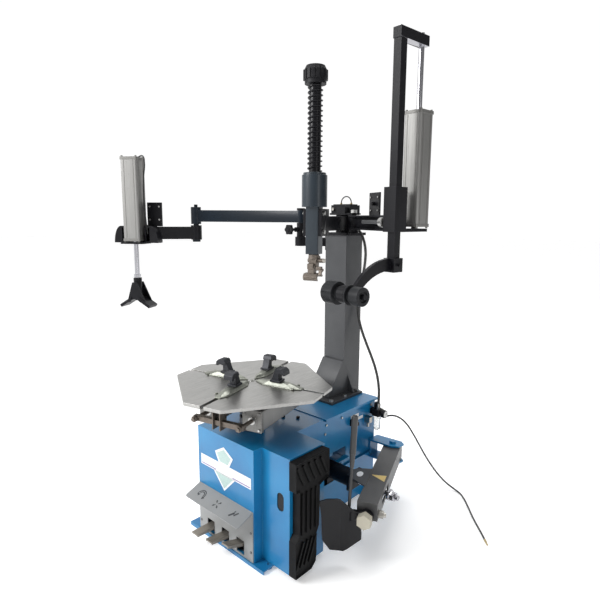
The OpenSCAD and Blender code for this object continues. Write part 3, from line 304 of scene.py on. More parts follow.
def set_studio():
    world = bpy.data.worlds.new("studio")
    world.use_nodes = True
    # bright from behind the column round to the left, dimmer from the bead breaker side
    tree = world.node_tree
    spot = tree.nodes.new("ShaderNodeTexCoord")
    parts = tree.nodes.new("ShaderNodeSeparateXYZ")
    fade = tree.nodes.new("ShaderNodeMapRange")
    fade.interpolation_type = "SMOOTHSTEP"
    fade.inputs["From Min"].default_value = 0.45
    fade.inputs["From Max"].default_value = -0.15
    fade.inputs["To Min"].default_value = 0.26
    fade.inputs["To Max"].default_value = 1.02
    tree.links.new(spot.outputs["Generated"], parts.inputs["Vector"])
    tree.links.new(parts.outputs["X"], fade.inputs["Value"])
    tree.links.new(fade.outputs["Result"], tree.nodes["Background"].inputs["Strength"])
    tree.nodes["Background"].inputs["Color"].default_value = (1.0, 1.0, 1.0, 1)
    scene.world = world
    scene.view_settings.view_transform = "Standard"
    place_lamp("key", (-1.8, -3.6, 3.2), (0, -0.1, 0.8), (1.8, 1.6), 150)
    place_lamp("side", (3.4, -0.6, 1.6), (0.1, 0, 0.6), (0.8, 2.0), 12)
    place_lamp("overhead", (-0.4, 0.8, 4.4), (0, 0, 0.7), (1.6, 1.6), 60)
    bm = bmesh.new()
    bmesh.ops.create_grid(bm, x_segments=1, y_segments=1, size=40.0)
    mesh = bpy.data.meshes.new("floor")
    bm.to_mesh(mesh)
    bm.free()
    floor = Finish("studio_floor", Specular_IOR_Level=0.2, Emission_Strength=0.34)
    pale = floor.tint(floor.noise(2.0), (0.95, 0.95, 0.95), (0.93, 0.93, 0.93))
    floor.wear(Base_Color=pale, Emission_Color=pale,
               Roughness=0.75 + 0.1 * floor.noise(30.0))
    mesh.materials.append(floor.material)
    ground = bpy.data.objects.new("floor", mesh)
    scene.collection.objects.link(ground)


# ---------------------------------------------------------------- shared shaping

def settle(bm, name, body, finishes, nodes=(), bevel=0.0, segments=2, angle=35.0):
    """Turn a bmesh into a finished piece that rides on a body."""
    bmesh.ops.recalc_face_normals(bm, faces=bm.faces)
    mesh = bpy.data.meshes.new(name)
    bm.to_mesh(mesh)
    bm.free()
    mesh.polygons.foreach_set("use_smooth", [True] * len(mesh.polygons))
    mesh.set_sharp_from_angle(angle=math.radians(angle))
    for finish in finishes:
        mesh.materials.append(finish.material)
    piece = bpy.data.objects.new(name, mesh)
    scene.collection.objects.link(piece)
    if bevel:
        round_off = piece.modifiers.new("edges", "BEVEL")
        round_off.width = bevel
        round_off.segments = segments
        round_off.limit_method = "ANGLE"
        round_off.angle_limit = math.radians(angle)
        round_off.harden_normals = True
    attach(piece, body)
    if nodes:
        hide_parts(*nodes)
    return piece


def merged_copy(node):
    bm = bmesh.new()
    bm.from_mesh(bpy.data.objects[node].data)
    bmesh.ops.remove_doubles(bm, verts=bm.verts, dist=0.00002)
    bmesh.ops.dissolve_limit(bm, angle_limit=math.radians(1.0), verts=bm.verts, edges=bm.edges)
    for face in bm.faces:
        face.material_index = 0
    return bm


def softened(node, bevel=0.0014, others=(), segments=2, frame_of=None):
    """The machined part with its sharp edges broken; others give a second finish to faces by their middle."""
    bm = merged_copy(node)
    finishes = [NODE_FINISH.get(node, SLOT_FINISH[SLOT[node]])]
    home = (frame_of or Matrix()).inverted()
    for face in bm.faces:
        spot = home @ face.calc_center_median()
        for test, finish in others:
            if test(spot):
                if finish not in finishes:
                    finishes.append(finish)
                face.material_index = finishes.index(finish)
    return settle(bm, node + "_finished", BODY[node], finishes, [node], bevel, segments)


def paint_faces(bm, faces, index):
    for face in faces:
        face.material_index = index


def faces_of(made):
    return {face for vert in made for face in vert.link_faces}


def block(bm, size, centre, turn=None, index=0):
    stand = Matrix.Translation(centre) @ (turn or Matrix()) @ Matrix.Diagonal((*size, 1))
    made = bmesh.ops.create_cube(bm, size=1.0, matrix=stand)["verts"]
    paint_faces(bm, faces_of(made), index)
    return made


def rod(bm, start, end, radius, sides=24, far_radius=None, index=0):
    start = Vector(start)
    line = Vector(end) - start
    stand = Matrix.Translation(start + line / 2) @ line.to_track_quat("Z", "Y").to_matrix().to_4x4()
    made = bmesh.ops.create_cone(
        bm, cap_ends=True, segments=sides, radius1=radius,
        radius2=radius if far_radius is None else far_radius, depth=line.length, matrix=stand)["verts"]
    paint_faces(bm, faces_of(made), index)
    return made


def plate(bm, outline, thickness, stand, index=0):
    """Flat outline in XY of a stand, raised by a thickness."""
    base = bm.faces.new([bm.verts.new((x, y, 0)) for x, y in outline])
    grown = bmesh.ops.extrude_face_region(bm, geom=[base])["geom"]
    top = [g for g in grown if isinstance(g, bmesh.types.BMVert)]
    bmesh.ops.translate(bm, verts=top, vec=(0, 0, thickness))
    made = list(base.verts) + top
    bmesh.ops.transform(bm, matrix=stand, verts=made)
    paint_faces(bm, faces_of(made), index)
    return made


def ring(bm, centre, turn, outer, wire, sides=32, sweep=360.0, index=0):
    """Bent round wire, whole or part of a turn."""
    made = bmesh.ops.create_circle(bm, cap_ends=False, segments=10, radius=wire,
                                   matrix=Matrix.Translation((outer, 0, 0)) @ Matrix.Rotation(math.pi / 2, 4, "X"))
    edges = list({edge for vert in made["verts"] for edge in vert.link_edges})
    before = set(bm.verts) - set(made["verts"])
    whole = sweep >= 360.0
    bmesh.ops.spin(bm, geom=made["verts"] + edges, cent=(0, 0, 0), axis=(0, 0, 1), angle=math.radians(sweep),
                   steps=sides, use_merge=whole, use_duplicate=False)
    grown = [v for v in bm.verts if v not in before]
    if not whole:
        bmesh.ops.holes_fill(bm, edges=[e for e in bm.edges if e.is_boundary], sides=10)
    bmesh.ops.transform(bm, matrix=Matrix.Translation(centre) @ turn, verts=grown)
    paint_faces(bm, faces_of(grown), index)
    return grown


def hexagon(bm, start, end, across, index=0):
    return rod(bm, start, end, across / 2, 6, index=index)


def middle(node):
    low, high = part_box(node)
    return (Vector(low) + Vector(high)) / 2


def hose_curve(name, points, diameter, body, finish):
    """Round hose bent smoothly through its points."""
    curve = bpy.data.curves.new(name, "CURVE")
    curve.dimensions = "3D"
    curve.bevel_depth = diameter / 2
    curve.bevel_resolution = 3
    curve.resolution_u = 6
    curve.use_fill_caps = True
    line = curve.splines.new("BEZIER")
    line.bezier_points.add(len(points) - 1)
    for spot, point in zip(line.bezier_points, points):
        spot.co = point
        spot.handle_left_type = "AUTO"
        spot.handle_right_type = "AUTO"
    curve.materials.append(finish.material)
    piece = bpy.data.objects.new(name, curve)
    scene.collection.objects.link(piece)
    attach(piece, body)
    return piece


place_camera()

# ---------------------------------------------------------------- hoses

HEAD_ROUTE = [
    (0.245, 0.398, 0.520), (0.246, 0.399, 0.560), (0.238, 0.404, 0.620), (0.214, 0.412, 0.690),
    (0.178, 0.418, 0.760), (0.138, 0.421, 0.830), (0.104, 0.422, 0.900), (0.084, 0.422, 0.960),
    (0.078, 0.422, 1.010), (0.080, 0.422, 1.060), (0.092, 0.421, 1.130), (0.108, 0.420, 1.200),
    (0.120, 0.419, 1.270), (0.120, 0.418, 1.330), (0.106, 0.416, 1.385), (0.086, 0.414, 1.420),
    (0.066, 0.413, 1.436), (0.056, 0.412, 1.440)]
SUPPLY_ROUTE = [
    (0.262, 0.452, 0.437), (0.278, 0.462, 0.443), (0.300, 0.475, 0.444), (0.324, 0.496, 0.430),
    (0.346, 0.522, 0.398), (0.368, 0.550, 0.346), (0.392, 0.578, 0.282), (0.418, 0.608, 0.212),
    (0.446, 0.640, 0.146), (0.476, 0.672, 0.088), (0.508, 0.702, 0.042), (0.542, 0.722, 0.014),
    (0.580, 0.716, 0.005), (0.622, 0.680, 0.005), (0.664, 0.632, 0.005), (0.706, 0.580, 0.005),
    (0.746, 0.532, 0.005), (0.786, 0.488, 0.005), (0.824, 0.446, 0.005), (0.850, 0.416, 0.005)]

head_hose = hose_curve("head_hose_tube", HEAD_ROUTE, 0.014, "base", HOSE)
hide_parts("head_hose")
supply_hose = hose_curve("supply_hose_tube", SUPPLY_ROUTE, 0.009, "base", HOSE)
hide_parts("supply_hose")


def make_hose_plug():
    return softened("hose_plug", 0.0004)


make_hose_plug()

set_studio()


# ---------------------------------------------------------------- cabinet

def finish_cabinet():
    softened("cabinet_shell", 0.0022, segments=3)
    softened("base_skids", 0.0016)
    right = 0.194
    bm = bmesh.new()
    # cable gland, its square housing and the small screws on the right side
    block(bm, (0.030, 0.034, 0.034), (right + 0.014, 0.236, 0.452), index=0)
    rod(bm, (right + 0.028, 0.236, 0.452), (right + 0.040, 0.236, 0.452), 0.011, index=0)
    for y, z in ((0.030, 0.498), (0.150, 0.500), (0.020, 0.455), (0.400, 0.500)):
        hexagon(bm, (right - 0.001, y, z), (right + 0.005, y, z), 0.013, index=1)
    # two bolts left on the cabinet top
    for x, y in ((0.030, -0.100), (0.090, -0.060)):
        block(bm, (0.014, 0.014, 0.010), (x, y, 0.537), Matrix.Rotation(0.4, 4, "Z"), index=0)
    settle(bm, "cabinet_screws", "base", [PLASTIC, ZINC], bevel=0.0008)
    face = -0.4401
    gap = 0.0006
    upright = Matrix(((1, 0, 0, 0), (0, 0, 1, face - gap), (0, 1, 0, 0), (0, 0, 0, 1)))
    bm = bmesh.new()
    # plain badge on the front: a banner with a stripe over a shield point
    plate(bm, [(-0.172, 0.352), (0.178, 0.352), (0.178, 0.402), (-0.172, 0.402)], 0.0010, upright, 0)
    plate(bm, [(-0.003, 0.276), (0.074, 0.354), (-0.080, 0.354)], 0.0008, upright, 0)
    plate(bm, [(-0.040, 0.402), (0.034, 0.402), (0.060, 0.448), (-0.003, 0.484), (-0.066, 0.448)], 0.0008,
          upright, 0)
    lifted = Matrix.Translation((0, -0.0004, 0)) @ upright
    plate(bm, [(-0.003, 0.288), (0.058, 0.350), (-0.064, 0.350)], 0.0008, lifted, 1)
    plate(bm, [(-0.030, 0.408), (0.024, 0.408), (0.046, 0.444), (-0.003, 0.472), (-0.052, 0.444)], 0.0008,
          lifted, 1)
    for low_x, high_x in ((-0.166, -0.060), (0.056, 0.172)):
        plate(bm, [(low_x, 0.357), (high_x, 0.357), (high_x, 0.362), (low_x, 0.362)], 0.0012, lifted, 2)
    block(bm, (0.0010, 0.060, 0.016), (right + 0.0006, 0.300, 0.456), index=0)
    block(bm, (0.0010, 0.066, 0.018), (right + 0.0006, 0.260, 0.476), index=0)
    settle(bm, "blank_plates", "base", [LABEL_WHITE, LABEL_SAGE, LABEL_VIOLET])
    bm = bmesh.new()
    # painted shade: a dark block inside the hollow behind the hand slot, where there is only shade
    block(bm, (0.050, 0.002, 0.094), (0.306, -0.3868, 0.328))
    settle(bm, "slot_shadow", "base", [HOLE_SHADE])


def rib(bm, centre, size, lean, x):
    block(bm, (x, size[0], size[1]), centre, Matrix.Rotation(math.radians(lean), 4, "X"))


def finish_bead_pad():
    """Rubber buffer with a raised rim, diagonal ribs and a narrow waist."""
    low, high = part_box("bead_pad")
    x0 = low[0]
    front = high[0]
    bm = bmesh.new()
    outline = [(-0.396, 0.020), (-0.300, 0.020), (-0.272, 0.044), (-0.268, 0.080), (-0.268, 0.176),
               (-0.254, 0.204), (-0.250, 0.384), (-0.190, 0.404), (-0.190, 0.526), (-0.396, 0.526),
               (-0.396, 0.402), (-0.374, 0.398), (-0.374, 0.206), (-0.396, 0.178)]
    stand = Matrix(((0, 0, 1, x0), (1, 0, 0, 0), (0, 1, 0, 0), (0, 0, 0, 1)))
    plate(bm, outline, front - x0, stand)
    top = [f for f in bm.faces if f.calc_center_median().x > front - 0.0001]
    bmesh.ops.inset_region(bm, faces=top, thickness=0.009, depth=0, use_even_offset=True)
    top = [f for f in bm.faces if f.calc_center_median().x > front - 0.0001 and len(f.verts) > 4]
    bmesh.ops.translate(bm, verts=list({v for f in top for v in f.verts}), vec=(-0.009, 0, 0))
    for k in range(5):
        rib(bm, (front - 0.006, -0.366 + 0.036 * k, 0.463), (0.010, 0.096), 26, 0.010)
    for k in range(4):
        rib(bm, (front - 0.006, -0.354 + 0.028 * k, 0.292), (0.008, 0.186), 0, 0.010)
    for k in range(4):
        rib(bm, (front - 0.006, -0.368 + 0.026 * k, 0.112), (0.009, 0.118), -22, 0.010)
    settle(bm, "rubber_buffer", "base", [RUBBER], ["bead_pad"], bevel=0.0022, segments=2)


def finish_pedals():
    softened("pedal_hood", 0.0012)
    softened("pedal_frame", 0.001, [(lambda p: p.y > -0.334 and p.z > 0.042, NICKEL)])
    across = []
    for node in ("pedal_left", "pedal_middle", "pedal_right"):
        softened(node, 0.0016)
        across.append(middle(node).x)
    lean = Matrix.Translation((0, -0.4395, 0.248)) @ Matrix.Rotation(math.radians(22), 4, "X")
    cover = lean @ Matrix.Translation((0, -0.049, 0.0041))
    bm = bmesh.new()
    # turn mark: two bent arrows
    here = cover @ Matrix.Translation((across[0] - 0.010, 0.000, 0))
    ring(bm, (0, 0, 0), Matrix.Rotation(math.radians(-20), 4, "Z"), 0.023, 0.0024, 18, 215.0)
    ring(bm, (0, 0, 0), Matrix.Rotation(math.radians(-10), 4, "Z"), 0.015, 0.0024, 18, 170.0)
    plate(bm, [(-0.009, 0), (0.009, 0), (0, 0.013)], 0.0024,
          Matrix.Translation((0.022, -0.006, 0)) @ Matrix.Rotation(math.radians(170), 4, "Z"))
    plate(bm, [(-0.008, 0), (0.008, 0), (0, 0.011)], 0.0024,
          Matrix.Translation((-0.015, -0.001, 0)) @ Matrix.Rotation(math.radians(190), 4, "Z"))
    bmesh.ops.scale(bm, vec=(1, 1, 0.3), verts=bm.verts)
    bmesh.ops.transform(bm, matrix=here, verts=bm.verts)
    # spread mark: four arrows pointing outward
    for k in range(4):
        spin = Matrix.Rotation(math.radians(45 + 90 * k), 4, "Z")
        here = cover @ Matrix.Translation((across[1], 0.000, 0)) @ spin
        plate(bm, [(0.007, -0.0018), (0.017, -0.0018), (0.017, 0.0018), (0.007, 0.0018)], 0.0008, here)
        plate(bm, [(0.015, -0.005), (0.024, 0), (0.015, 0.005)], 0.0008, here)
    # blade mark: a curved shoe, a bar and an arrow
    here = cover @ Matrix.Translation((across[2] + 0.008, 0.000, 0))
    plate(bm, [(-0.020, -0.014), (-0.013, -0.017), (0.005, 0.004), (-0.002, 0.011)], 0.0008, here)
    plate(bm, [(0.004, -0.003), (0.009, -0.006), (0.022, 0.014), (0.017, 0.018)], 0.0008, here)
    plate(bm, [(-0.006, 0.012), (0.002, 0.010), (0.000, 0.019)], 0.0008, here)
    settle(bm, "pedal_marks", "base", [MARK_DARK])
    bm = bmesh.new()
    for x, z in ((0.178, 0.062), (0.178, 0.152), (-0.178, 0.062), (-0.178, 0.152)):
        rod(bm, (x, -0.4425, z), (x, -0.4465, z), 0.0055, 16)
    settle(bm, "hood_screws", "base", [CAST], bevel=0.0006)


def finish_drive():
    softened("motor", 0.0015)
    softened("gearbox", 0.0015)


finish_cabinet()
finish_bead_pad()
finish_pedals()
finish_drive()


# ---------------------------------------------------------------- turntable

TABLE = (-0.006, -0.268)
TURN = -74.5


def at_slot(k):
    return Matrix.Translation((*TABLE, 0)) @ Matrix.Rotation(math.radians(TURN + 90 * k), 4, "Z")


def hull_of(bm, rings):
    """Closed solid with flat facets around a few corner points."""
    verts = [bm.verts.new((x, y, z)) for outline, z in rings for x, y in outline]
    done = bmesh.ops.convex_hull(bm, input=verts)
    spare = [v for v in done["geom_interior"] if isinstance(v, bmesh.types.BMVert)]
    bmesh.ops.delete(bm, geom=spare, context="VERTS")
    return [v for v in verts if v.is_valid]


def finish_jaw(k, node, carriage):
    """Faceted clamping slide with a long ridge, a sloping nose and a keeper below the plate."""
    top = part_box("table_plate")[1][2] - 0.003
    z0 = top + 0.0005
    bm = bmesh.new()
    base = [(0.020, 0), (0.074, 0.027), (0.222, 0.030), (0.262, 0.014),
            (0.262, -0.014), (0.222, -0.030), (0.074, -0.027)]
    lip = [(0.026, 0), (0.077, 0.0245), (0.220, 0.0275), (0.258, 0.012),
           (0.258, -0.012), (0.220, -0.0275), (0.077, -0.0245)]
    nose = [(0.040, 0), (0.070, 0.0125), (0.070, -0.0125)]
    ridge = [(0.098, 0.0135), (0.186, 0.0150), (0.204, 0.004),
             (0.204, -0.004), (0.186, -0.0150), (0.098, -0.0135)]
    hull_of(bm, [(base, z0), (base, z0 + 0.0030), (lip, z0 + 0.0055)])
    hull_of(bm, [(lip, z0 + 0.0045), (nose, z0 + 0.0130), (ridge, z0 + 0.0188)])
    for side in (-1, 1):
        block(bm, (0.012, 0.007, 0.008), (0.2285, side * 0.0285, z0 + 0.006), Matrix.Rotation(side * 0.3, 4, "Z"))
    block(bm, (0.168, 0.0172, 0.024), (0.156, 0, z0 - 0.011))
    block(bm, (0.140, 0.048, 0.0210), (0.166, 0, top - 0.014 - 0.0117))
    if carriage:
        # two side plates that reach down to the clamp bar
        for side in (-1, 1):
            block(bm, (0.047, 0.005, 0.112), (0.2495, side * 0.0185, 0.669), index=1)
        block(bm, (0.047, 0.042, 0.006), (0.2495, 0, 0.722), index=1)
        hexagon(bm, (0.2495, -0.0215, 0.634), (0.2495, 0.0215, 0.634), 0.014, index=2)
    bmesh.ops.transform(bm, matrix=at_slot(k), verts=bm.verts)
    settle(bm, node + "_slide", BODY[node], [JAW_STEEL, BRONZE, ZINC], [node], bevel=0.0010,
           angle=12.0)


def finish_claw(k, node):
    """Forged hook: a shoe on the slide, a leaning leg and a toothed top plate that overhangs outward."""
    z0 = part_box(node)[0][2]
    stand = at_slot(k) @ Matrix(((1, 0, 0, 0), (0, 0, -1, 0.023), (0, 1, 0, z0), (0, 0, 0, 1)))
    bm = bmesh.new()
    plate(bm, [(0.130, 0.048), (0.150, 0.038), (0.166, 0.043), (0.177, 0.034), (0.187, 0.037),
               (0.184, 0.055), (0.171, 0.065), (0.138, 0.064)], 0.046, stand)
    plate(bm, [(0.109, 0.004), (0.152, 0.004), (0.150, 0.020), (0.152, 0.046), (0.130, 0.052), (0.120, 0.024)],
          0.034, stand @ Matrix.Translation((0, 0, 0.006)))
    block(bm, (0.052, 0.046, 0.010), (0.135, 0, z0 + 0.0052), index=0)
    for row in range(3):
        block(bm, (0.004, 0.044, 0.003), (0.142 + 0.012 * row, 0, z0 + 0.0655 - 0.0004 * row), index=0)
    fresh = [v for v in bm.verts if abs(v.co.x) < 0.3 and abs(v.co.y) < 0.03 and v.co.x > 0.1]
    bmesh.ops.transform(bm, matrix=at_slot(k), verts=fresh)
    settle(bm, node + "_hook", BODY[node], [CLAW_STEEL], [node], bevel=0.0020, segments=3)


def finish_clamp_rams():
    """Two square cylinders under the table, with cast ends, tie bolts, rod bosses and a pipe between them."""
    low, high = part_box("clamp_rams")
    z = (low[2] + high[2]) / 2
    softened("clamp_rams", 0.0014, [(lambda p: p.x < -0.158 or p.x > 0.188, END_CAP)], frame_of=at_slot(2))
    bm = bmesh.new()
    for side in (-1, 1):
        y = side * 0.114
        rod(bm, (-0.1775, y, z), (-0.174, y, z), 0.027, 32, index=1)
        rod(bm, (-0.181, y, z), (-0.174, y, z), 0.017, 24, index=0)
        for across in (-0.036, 0.036):
            for up in (-0.036, 0.036):
                hexagon(bm, (-0.182, y + across, z + up), (-0.175, y + across, z + up), 0.012, index=0)
                hexagon(bm, (0.204, y + across, z + up), (0.211, y + across, z + up), 0.012, index=0)
        rod(bm, (-0.168, y, z + 0.046), (-0.168, y, z + 0.052), 0.008, 12, index=2)
        for up in (-0.028, 0.0, 0.028):
            block(bm, (0.350, 0.0012, 0.003), (0.015, y - side * 0.0455, z + up), index=1)
    bmesh.ops.transform(bm, matrix=at_slot(2), verts=bm.verts)
    settle(bm, "clamp_ram_fittings", BODY["clamp_rams"], [ZINC, END_CAP, BRASS], bevel=0.0008)


def finish_table():
    softened("table_plate", 0.0010)
    softened("table_spindle", 0.001)
    for k, side in enumerate(("front", "right", "rear", "left")):
        finish_jaw(k, "jaw_" + side, side in ("front", "rear"))
        finish_claw(k, "claw_" + side)
    for node in ("clamp_bar_front", "clamp_bar_rear"):
        softened(node, 0.0016)
    finish_clamp_rams()
    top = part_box("table_plate")[1][2]
    bm = bmesh.new()
    # star screw in the middle of the plate
    rod(bm, (*TABLE, top - 0.001), (*TABLE, top + 0.001), 0.008, 6)
    settle(bm, "centre_screw", "table", [JAW_STEEL], bevel=0.0004)


finish_table()


# ---------------------------------------------------------------- column and mount arm

AT_ARM = Matrix.Translation((-0.015, 0.407, 0)) @ Matrix.Rotation(math.radians(-70.5), 4, "Z")
AT_POST = Matrix.Translation((0.450, 0.172, 0)) @ Matrix.Rotation(math.radians(-6.0), 4, "Z")
AT_LEFT = Matrix.Translation((-0.847, -0.351, 0)) @ Matrix.Rotation(math.radians(33.6), 4, "Z")
AT_BEAM = Matrix.Translation((0.086, 0.357, 0)) @ Matrix.Rotation(math.atan2(-0.185, 0.364), 4, "Z")
REACH = 0.430


def finish_column():
    softened("column_post", 0.003, segments=3)
    softened("column_bolts", 0.001)
    softened("column_head", 0.0014, [(lambda p: p.z > 1.5185, ZINC)])
    softened("control_valves", 0.002, [(lambda p: 0.367 < p.y < 0.3795 and abs(p.z - 1.538) < 0.0075, NICKEL)])
    bm = bmesh.new()
    # clear pilot line looped over the valve block and its two elbows
    for x in (-0.052, 0.016):
        rod(bm, (x, 0.424, 1.562), (x, 0.424, 1.572), 0.006, 12)
    ring(bm, (-0.018, 0.424, 1.572), Matrix.Rotation(math.pi / 2, 4, "X"), 0.034, 0.003, 20, 180.0, index=1)
    settle(bm, "pilot_line", BODY["control_valves"], [BRASS, PLASTIC])


def finish_mount_head():
    """Worn dovetail block with a cross bolt, a side finger and a curved bill."""
    bm = bmesh.new()
    rod(bm, (0, 0, 1.300), (0, 0, 1.324), 0.025, 32, index=0)
    block(bm, (0.040, 0.038, 0.046), (0.000, 0.000, 1.284))
    block(bm, (0.030, 0.030, 0.026), (0.022, -0.004, 1.270))
    rod(bm, (0, -0.029, 1.296), (0, 0.050, 1.296), 0.010, 20, index=0)
    hexagon(bm, (0, 0.044, 1.296), (0, 0.056, 1.296), 0.022, index=1)
    rod(bm, (-0.012, -0.030, 1.308), (-0.012, 0.026, 1.308), 0.009, 16, index=0)
    # neck that leans outward to the bill
    side = Matrix(((1, 0, 0, 0), (0, 0, -1, 0.016), (0, 1, 0, 0), (0, 0, 0, 1)))
    plate(bm, [(-0.014, 1.276), (0.030, 1.276), (0.038, 1.248), (0.034, 1.226), (0.016, 1.226), (0.004, 1.246)],
          0.032, side)
    # bill: a thin spoon curled under
    wide = Matrix(((1, 0, 0, 0), (0, 0, -1, 0.034), (0, 1, 0, 0), (0, 0, 0, 1)))
    plate(bm, [(-0.030, 1.228), (0.012, 1.240), (0.038, 1.238), (0.050, 1.224), (0.044, 1.208), (0.030, 1.203),
               (0.034, 1.212), (0.038, 1.220), (0.030, 1.227), (0.010, 1.229), (-0.026, 1.218)], 0.070, wide)
    # side finger
    plate(bm, [(0.020, 1.262), (0.044, 1.258), (0.054, 1.236), (0.050, 1.230), (0.038, 1.246), (0.020, 1.250)],
          0.016, Matrix(((1, 0, 0, 0), (0, 0, -1, 0.058), (0, 1, 0, 0), (0, 0, 0, 1))))
    block(bm, (0.020, 0.026, 0.018), (0.028, 0.038, 1.262))
    bmesh.ops.transform(bm, matrix=AT_ARM @ Matrix.Translation((REACH, 0, 0)), verts=bm.verts)
    settle(bm, "mount_tool", BODY["mount_head"], [BRONZE, NICKEL], ["mount_head"],
           bevel=0.0024, segments=3)


def finish_mount_arm():
    softened("swing_arm", 0.002, [
        (lambda p: abs(p.x - REACH) < 0.012 and abs(p.y) > 0.0455, ZINC)], frame_of=AT_ARM)
    softened("tool_guide", 0.002, segments=3)
    softened("tool_shaft", 0.0006, [(lambda p: p.z > 1.50, BLACK)])
    softened("tool_cap", 0.0022, segments=2)
    finish_mount_head()
    # round wire spring wound around the shaft
    low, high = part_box("tool_spring")
    centre = middle("tool_spring")
    turns = 17
    steps = 20
    wire = 0.0036
    coil = 0.0312
    sleeve = (0.0215, 0.0270)
    bm = bmesh.new()
    made = bmesh.ops.create_circle(bm, cap_ends=False, segments=10, radius=wire,
                                   matrix=Matrix.Translation((coil, 0, 0)) @ Matrix.Rotation(math.pi / 2, 4, "X"))
    edges = list({edge for vert in made["verts"] for edge in vert.link_edges})
    rise = (high[2] - low[2] - 0.0076) / (turns * steps)
    bmesh.ops.spin(bm, geom=made["verts"] + edges, cent=(0, 0, 0), axis=(0, 0, 1), dvec=(0, 0, rise),
                   angle=math.radians(360 * turns), steps=turns * steps, use_merge=False)
    bmesh.ops.holes_fill(bm, edges=[e for e in bm.edges if e.is_boundary], sides=12)
    bmesh.ops.translate(bm, verts=bm.verts, vec=(centre.x, centre.y, low[2] + 0.0038))
    # dark bellows between the shaft and the spring
    foot, head = low[2] + 0.001, high[2] - 0.001
    wall = [bm.verts.new((centre.x + r, centre.y, z)) for r, z in (
        (sleeve[0], foot), (sleeve[1], foot), (sleeve[1], head), (sleeve[0], head))]
    edges = [bm.edges.new((wall[i], wall[(i + 1) % 4])) for i in range(4)]
    bmesh.ops.spin(bm, geom=wall + edges, cent=(centre.x, centre.y, 0), axis=(0, 0, 1), angle=math.tau, steps=32,
                   use_merge=True, use_duplicate=False)
    spring = settle(bm, "return_spring", BODY["tool_spring"], [BLADE_BLACK], ["tool_spring"],
                    angle=60.0)
    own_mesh(spring)


finish_column()
finish_mount_arm()


# ---------------------------------------------------------------- helper arms

def finish_ram(node, home, x, y):
    """Profile cylinder: drawn body, darker cast ends and bright tie nuts."""
    low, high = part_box(node)
    softened(node, 0.002, [
        (lambda p: p.z < low[2] + 0.0055 or p.z > high[2] - 0.0055, ZINC),
        (lambda p: p.z < low[2] + 0.0215 or p.z > high[2] - 0.0215, END_CAP)])
    bm = bmesh.new()
    half = 0.0458
    for turn in range(4):
        spin = Matrix.Rotation(turn * math.pi / 2, 4, "Z")
        for across in (-0.026, 0.026):
            here = spin @ Vector((across, half, 0))
            block(bm, (0.0020, 0.0014, high[2] - low[2] - 0.046), (x + here.x, y + here.y, (low[2] + high[2]) / 2),
                  spin)
    bmesh.ops.transform(bm, matrix=home, verts=bm.verts)
    settle(bm, node + "_grooves", BODY[node], [END_CAP])


def finish_left_arm():
    softened("left_bracket", 0.002)
    softened("lock_knob", 0.002)
    softened("left_link", 0.0022)
    softened("left_fork", 0.002, segments=3)
    softened("press_rod", 0.0008)
    softened("press_foot", 0.002, segments=2)
    finish_ram("press_ram", AT_LEFT, 0, 0)
    bm = bmesh.new()
    # four screws on the upright panel
    for x in (0.062, 0.116):
        for z in (1.476, 1.546):
            rod(bm, (x, 0.0505, z), (x, 0.0475, z), 0.005, 12, index=0)
    bmesh.ops.transform(bm, matrix=AT_LEFT, verts=bm.verts)
    settle(bm, "panel_screws", BODY["left_fork"], [ZINC], bevel=0.0006)
    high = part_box("press_ram")[1]
    line = [(0.020, 0.020, high[2] - 0.004), (0.052, 0.014, high[2] + 0.002), (0.062, 0.010, high[2] - 0.030),
            (0.058, 0.004, 1.700), (0.056, 0.002, 1.560), (0.064, -0.002, 1.460), (0.070, 0.000, 1.400)]
    hose_curve("ram_air_line", [AT_LEFT @ Vector(p) for p in line], 0.008, BODY["press_ram"], HOSE)


def finish_right_arm():
    softened("right_beam", 0.0016, [
        (lambda p: math.hypot(p.y + 0.026, p.z - 1.474) < 0.0115 and p.x > 0.15, POST_GREY),
        (lambda p: math.hypot(p.y + 0.034, p.z - 1.474) < 0.0245 and p.x > 0.352, ZINC)], frame_of=AT_BEAM)
    softened("right_post", 0.0018, [
        (lambda p: math.hypot(p.x, p.y - 0.146) < 0.0135 and 1.842 < p.z < 2.2519, CHROME),
        (lambda p: p.z > 2.2765, ZINC)], frame_of=AT_POST)
    finish_ram("right_ram", AT_POST, 0, 0.146)
    softened("roller_arm", 0.002)
    softened("roller_large", 0.003, segments=3)
    softened("roller_small", 0.003, segments=3)
    bm = bmesh.new()
    # screws on the sleeve and on the lift valve panel
    for y in (-0.016, 0.016):
        rod(bm, (-0.036, y, 1.600), (-0.0335, y, 1.600), 0.005, 12, index=0)
        rod(bm, (-0.036, y, 1.460), (-0.0335, y, 1.460), 0.005, 12, index=0)
    bmesh.ops.transform(bm, matrix=AT_POST, verts=bm.verts)
    settle(bm, "sleeve_screws", BODY["right_beam"], [ZINC], bevel=0.0006)
    bm = bmesh.new()
    for x in (0.172, 0.244):
        for z in (1.528, 1.590):
            rod(bm, (x, 0.0045, z), (x, 0.0010, z), 0.005, 12, index=0)
    rod(bm, (0.208, 0.0045, 1.560), (0.208, -0.010, 1.560), 0.009, 20, index=1)
    bmesh.ops.transform(bm, matrix=AT_BEAM, verts=bm.verts)
    settle(bm, "lift_valve_screws", BODY["right_beam"], [ZINC, PLASTIC], bevel=0.0006)


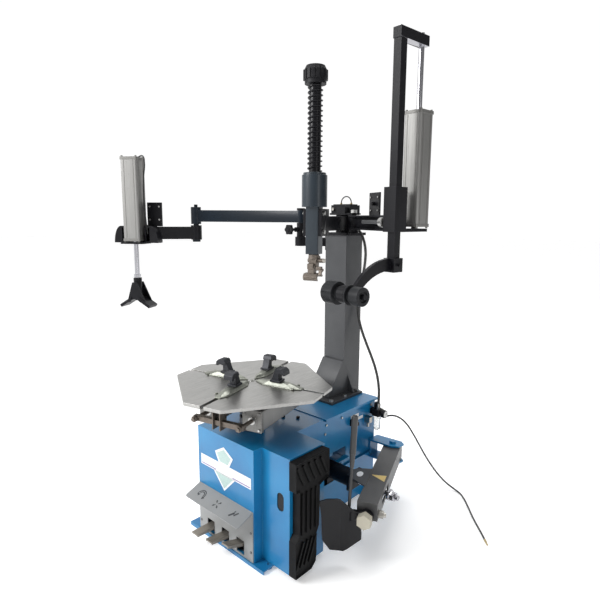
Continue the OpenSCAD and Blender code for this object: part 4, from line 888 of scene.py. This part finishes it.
finish_left_arm()
finish_right_arm()


# ---------------------------------------------------------------- bead breaker and air supply

AT_BREAKER = (Matrix.Translation((0.315, 0.440, 0))
              @ Matrix.Rotation(math.atan2(-0.544, 0.225), 4, "Z"))


def finish_breaker():
    softened("breaker_bracket", 0.0016)
    softened("breaker_ram", 0.0016)
    softened("breaker_rod", 0.001)
    softened("breaker_arm", 0.0026, segments=3)
    softened("breaker_pivot", 0.002, [(lambda p: p.y > 0.0445, NICKEL)], frame_of=AT_BREAKER)
    softened("breaker_blade", 0.002)
    softened("blade_handle", 0.0016)
    bm = bmesh.new()
    # blank oval label on the wing and a plain warning triangle on the channel
    wing_top = AT_BREAKER @ Matrix.Translation((0.372, -0.086, 0.2999))
    oval = [(0.024 * math.cos(math.tau * k / 24), 0.015 * math.sin(math.tau * k / 24)) for k in range(24)]
    plate(bm, oval, 0.0008, wing_top, 0)
    arm_top = AT_BREAKER @ Matrix.Translation((0, 0, 0.2959))
    plate(bm, [(0.352, -0.034), (0.396, 0.034), (0.340, 0.034)], 0.0008, arm_top, 1)
    settle(bm, "breaker_labels", BODY["breaker_arm"], [LABEL_WHITE, LABEL_AMBER])


def finish_air_supply():
    softened("air_regulator", 0.002)
    softened("filter_bowl", 0.001)
    softened("pressure_gauge", 0.001)
    softened("air_fittings", 0.001)
    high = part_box("pressure_gauge")[1]
    centre = middle("pressure_gauge")
    bm = bmesh.new()
    rod(bm, (high[0] - 0.001, centre.y, centre.z), (high[0] + 0.0012, centre.y, centre.z), 0.0175, 32)
    settle(bm, "gauge_face", "base", [DIAL_WHITE], bevel=0.0003)
    bm = bmesh.new()
    block(bm, (0.0012, 0.014, 0.0016), (high[0] + 0.0016, centre.y + 0.003, centre.z + 0.003),
          Matrix.Rotation(math.radians(40), 4, "X"))
    rod(bm, (high[0], centre.y, centre.z), (high[0] + 0.0024, centre.y, centre.z), 0.0022, 12)
    settle(bm, "gauge_needle", "base", [MARK_DARK])


finish_breaker()
finish_air_supply()
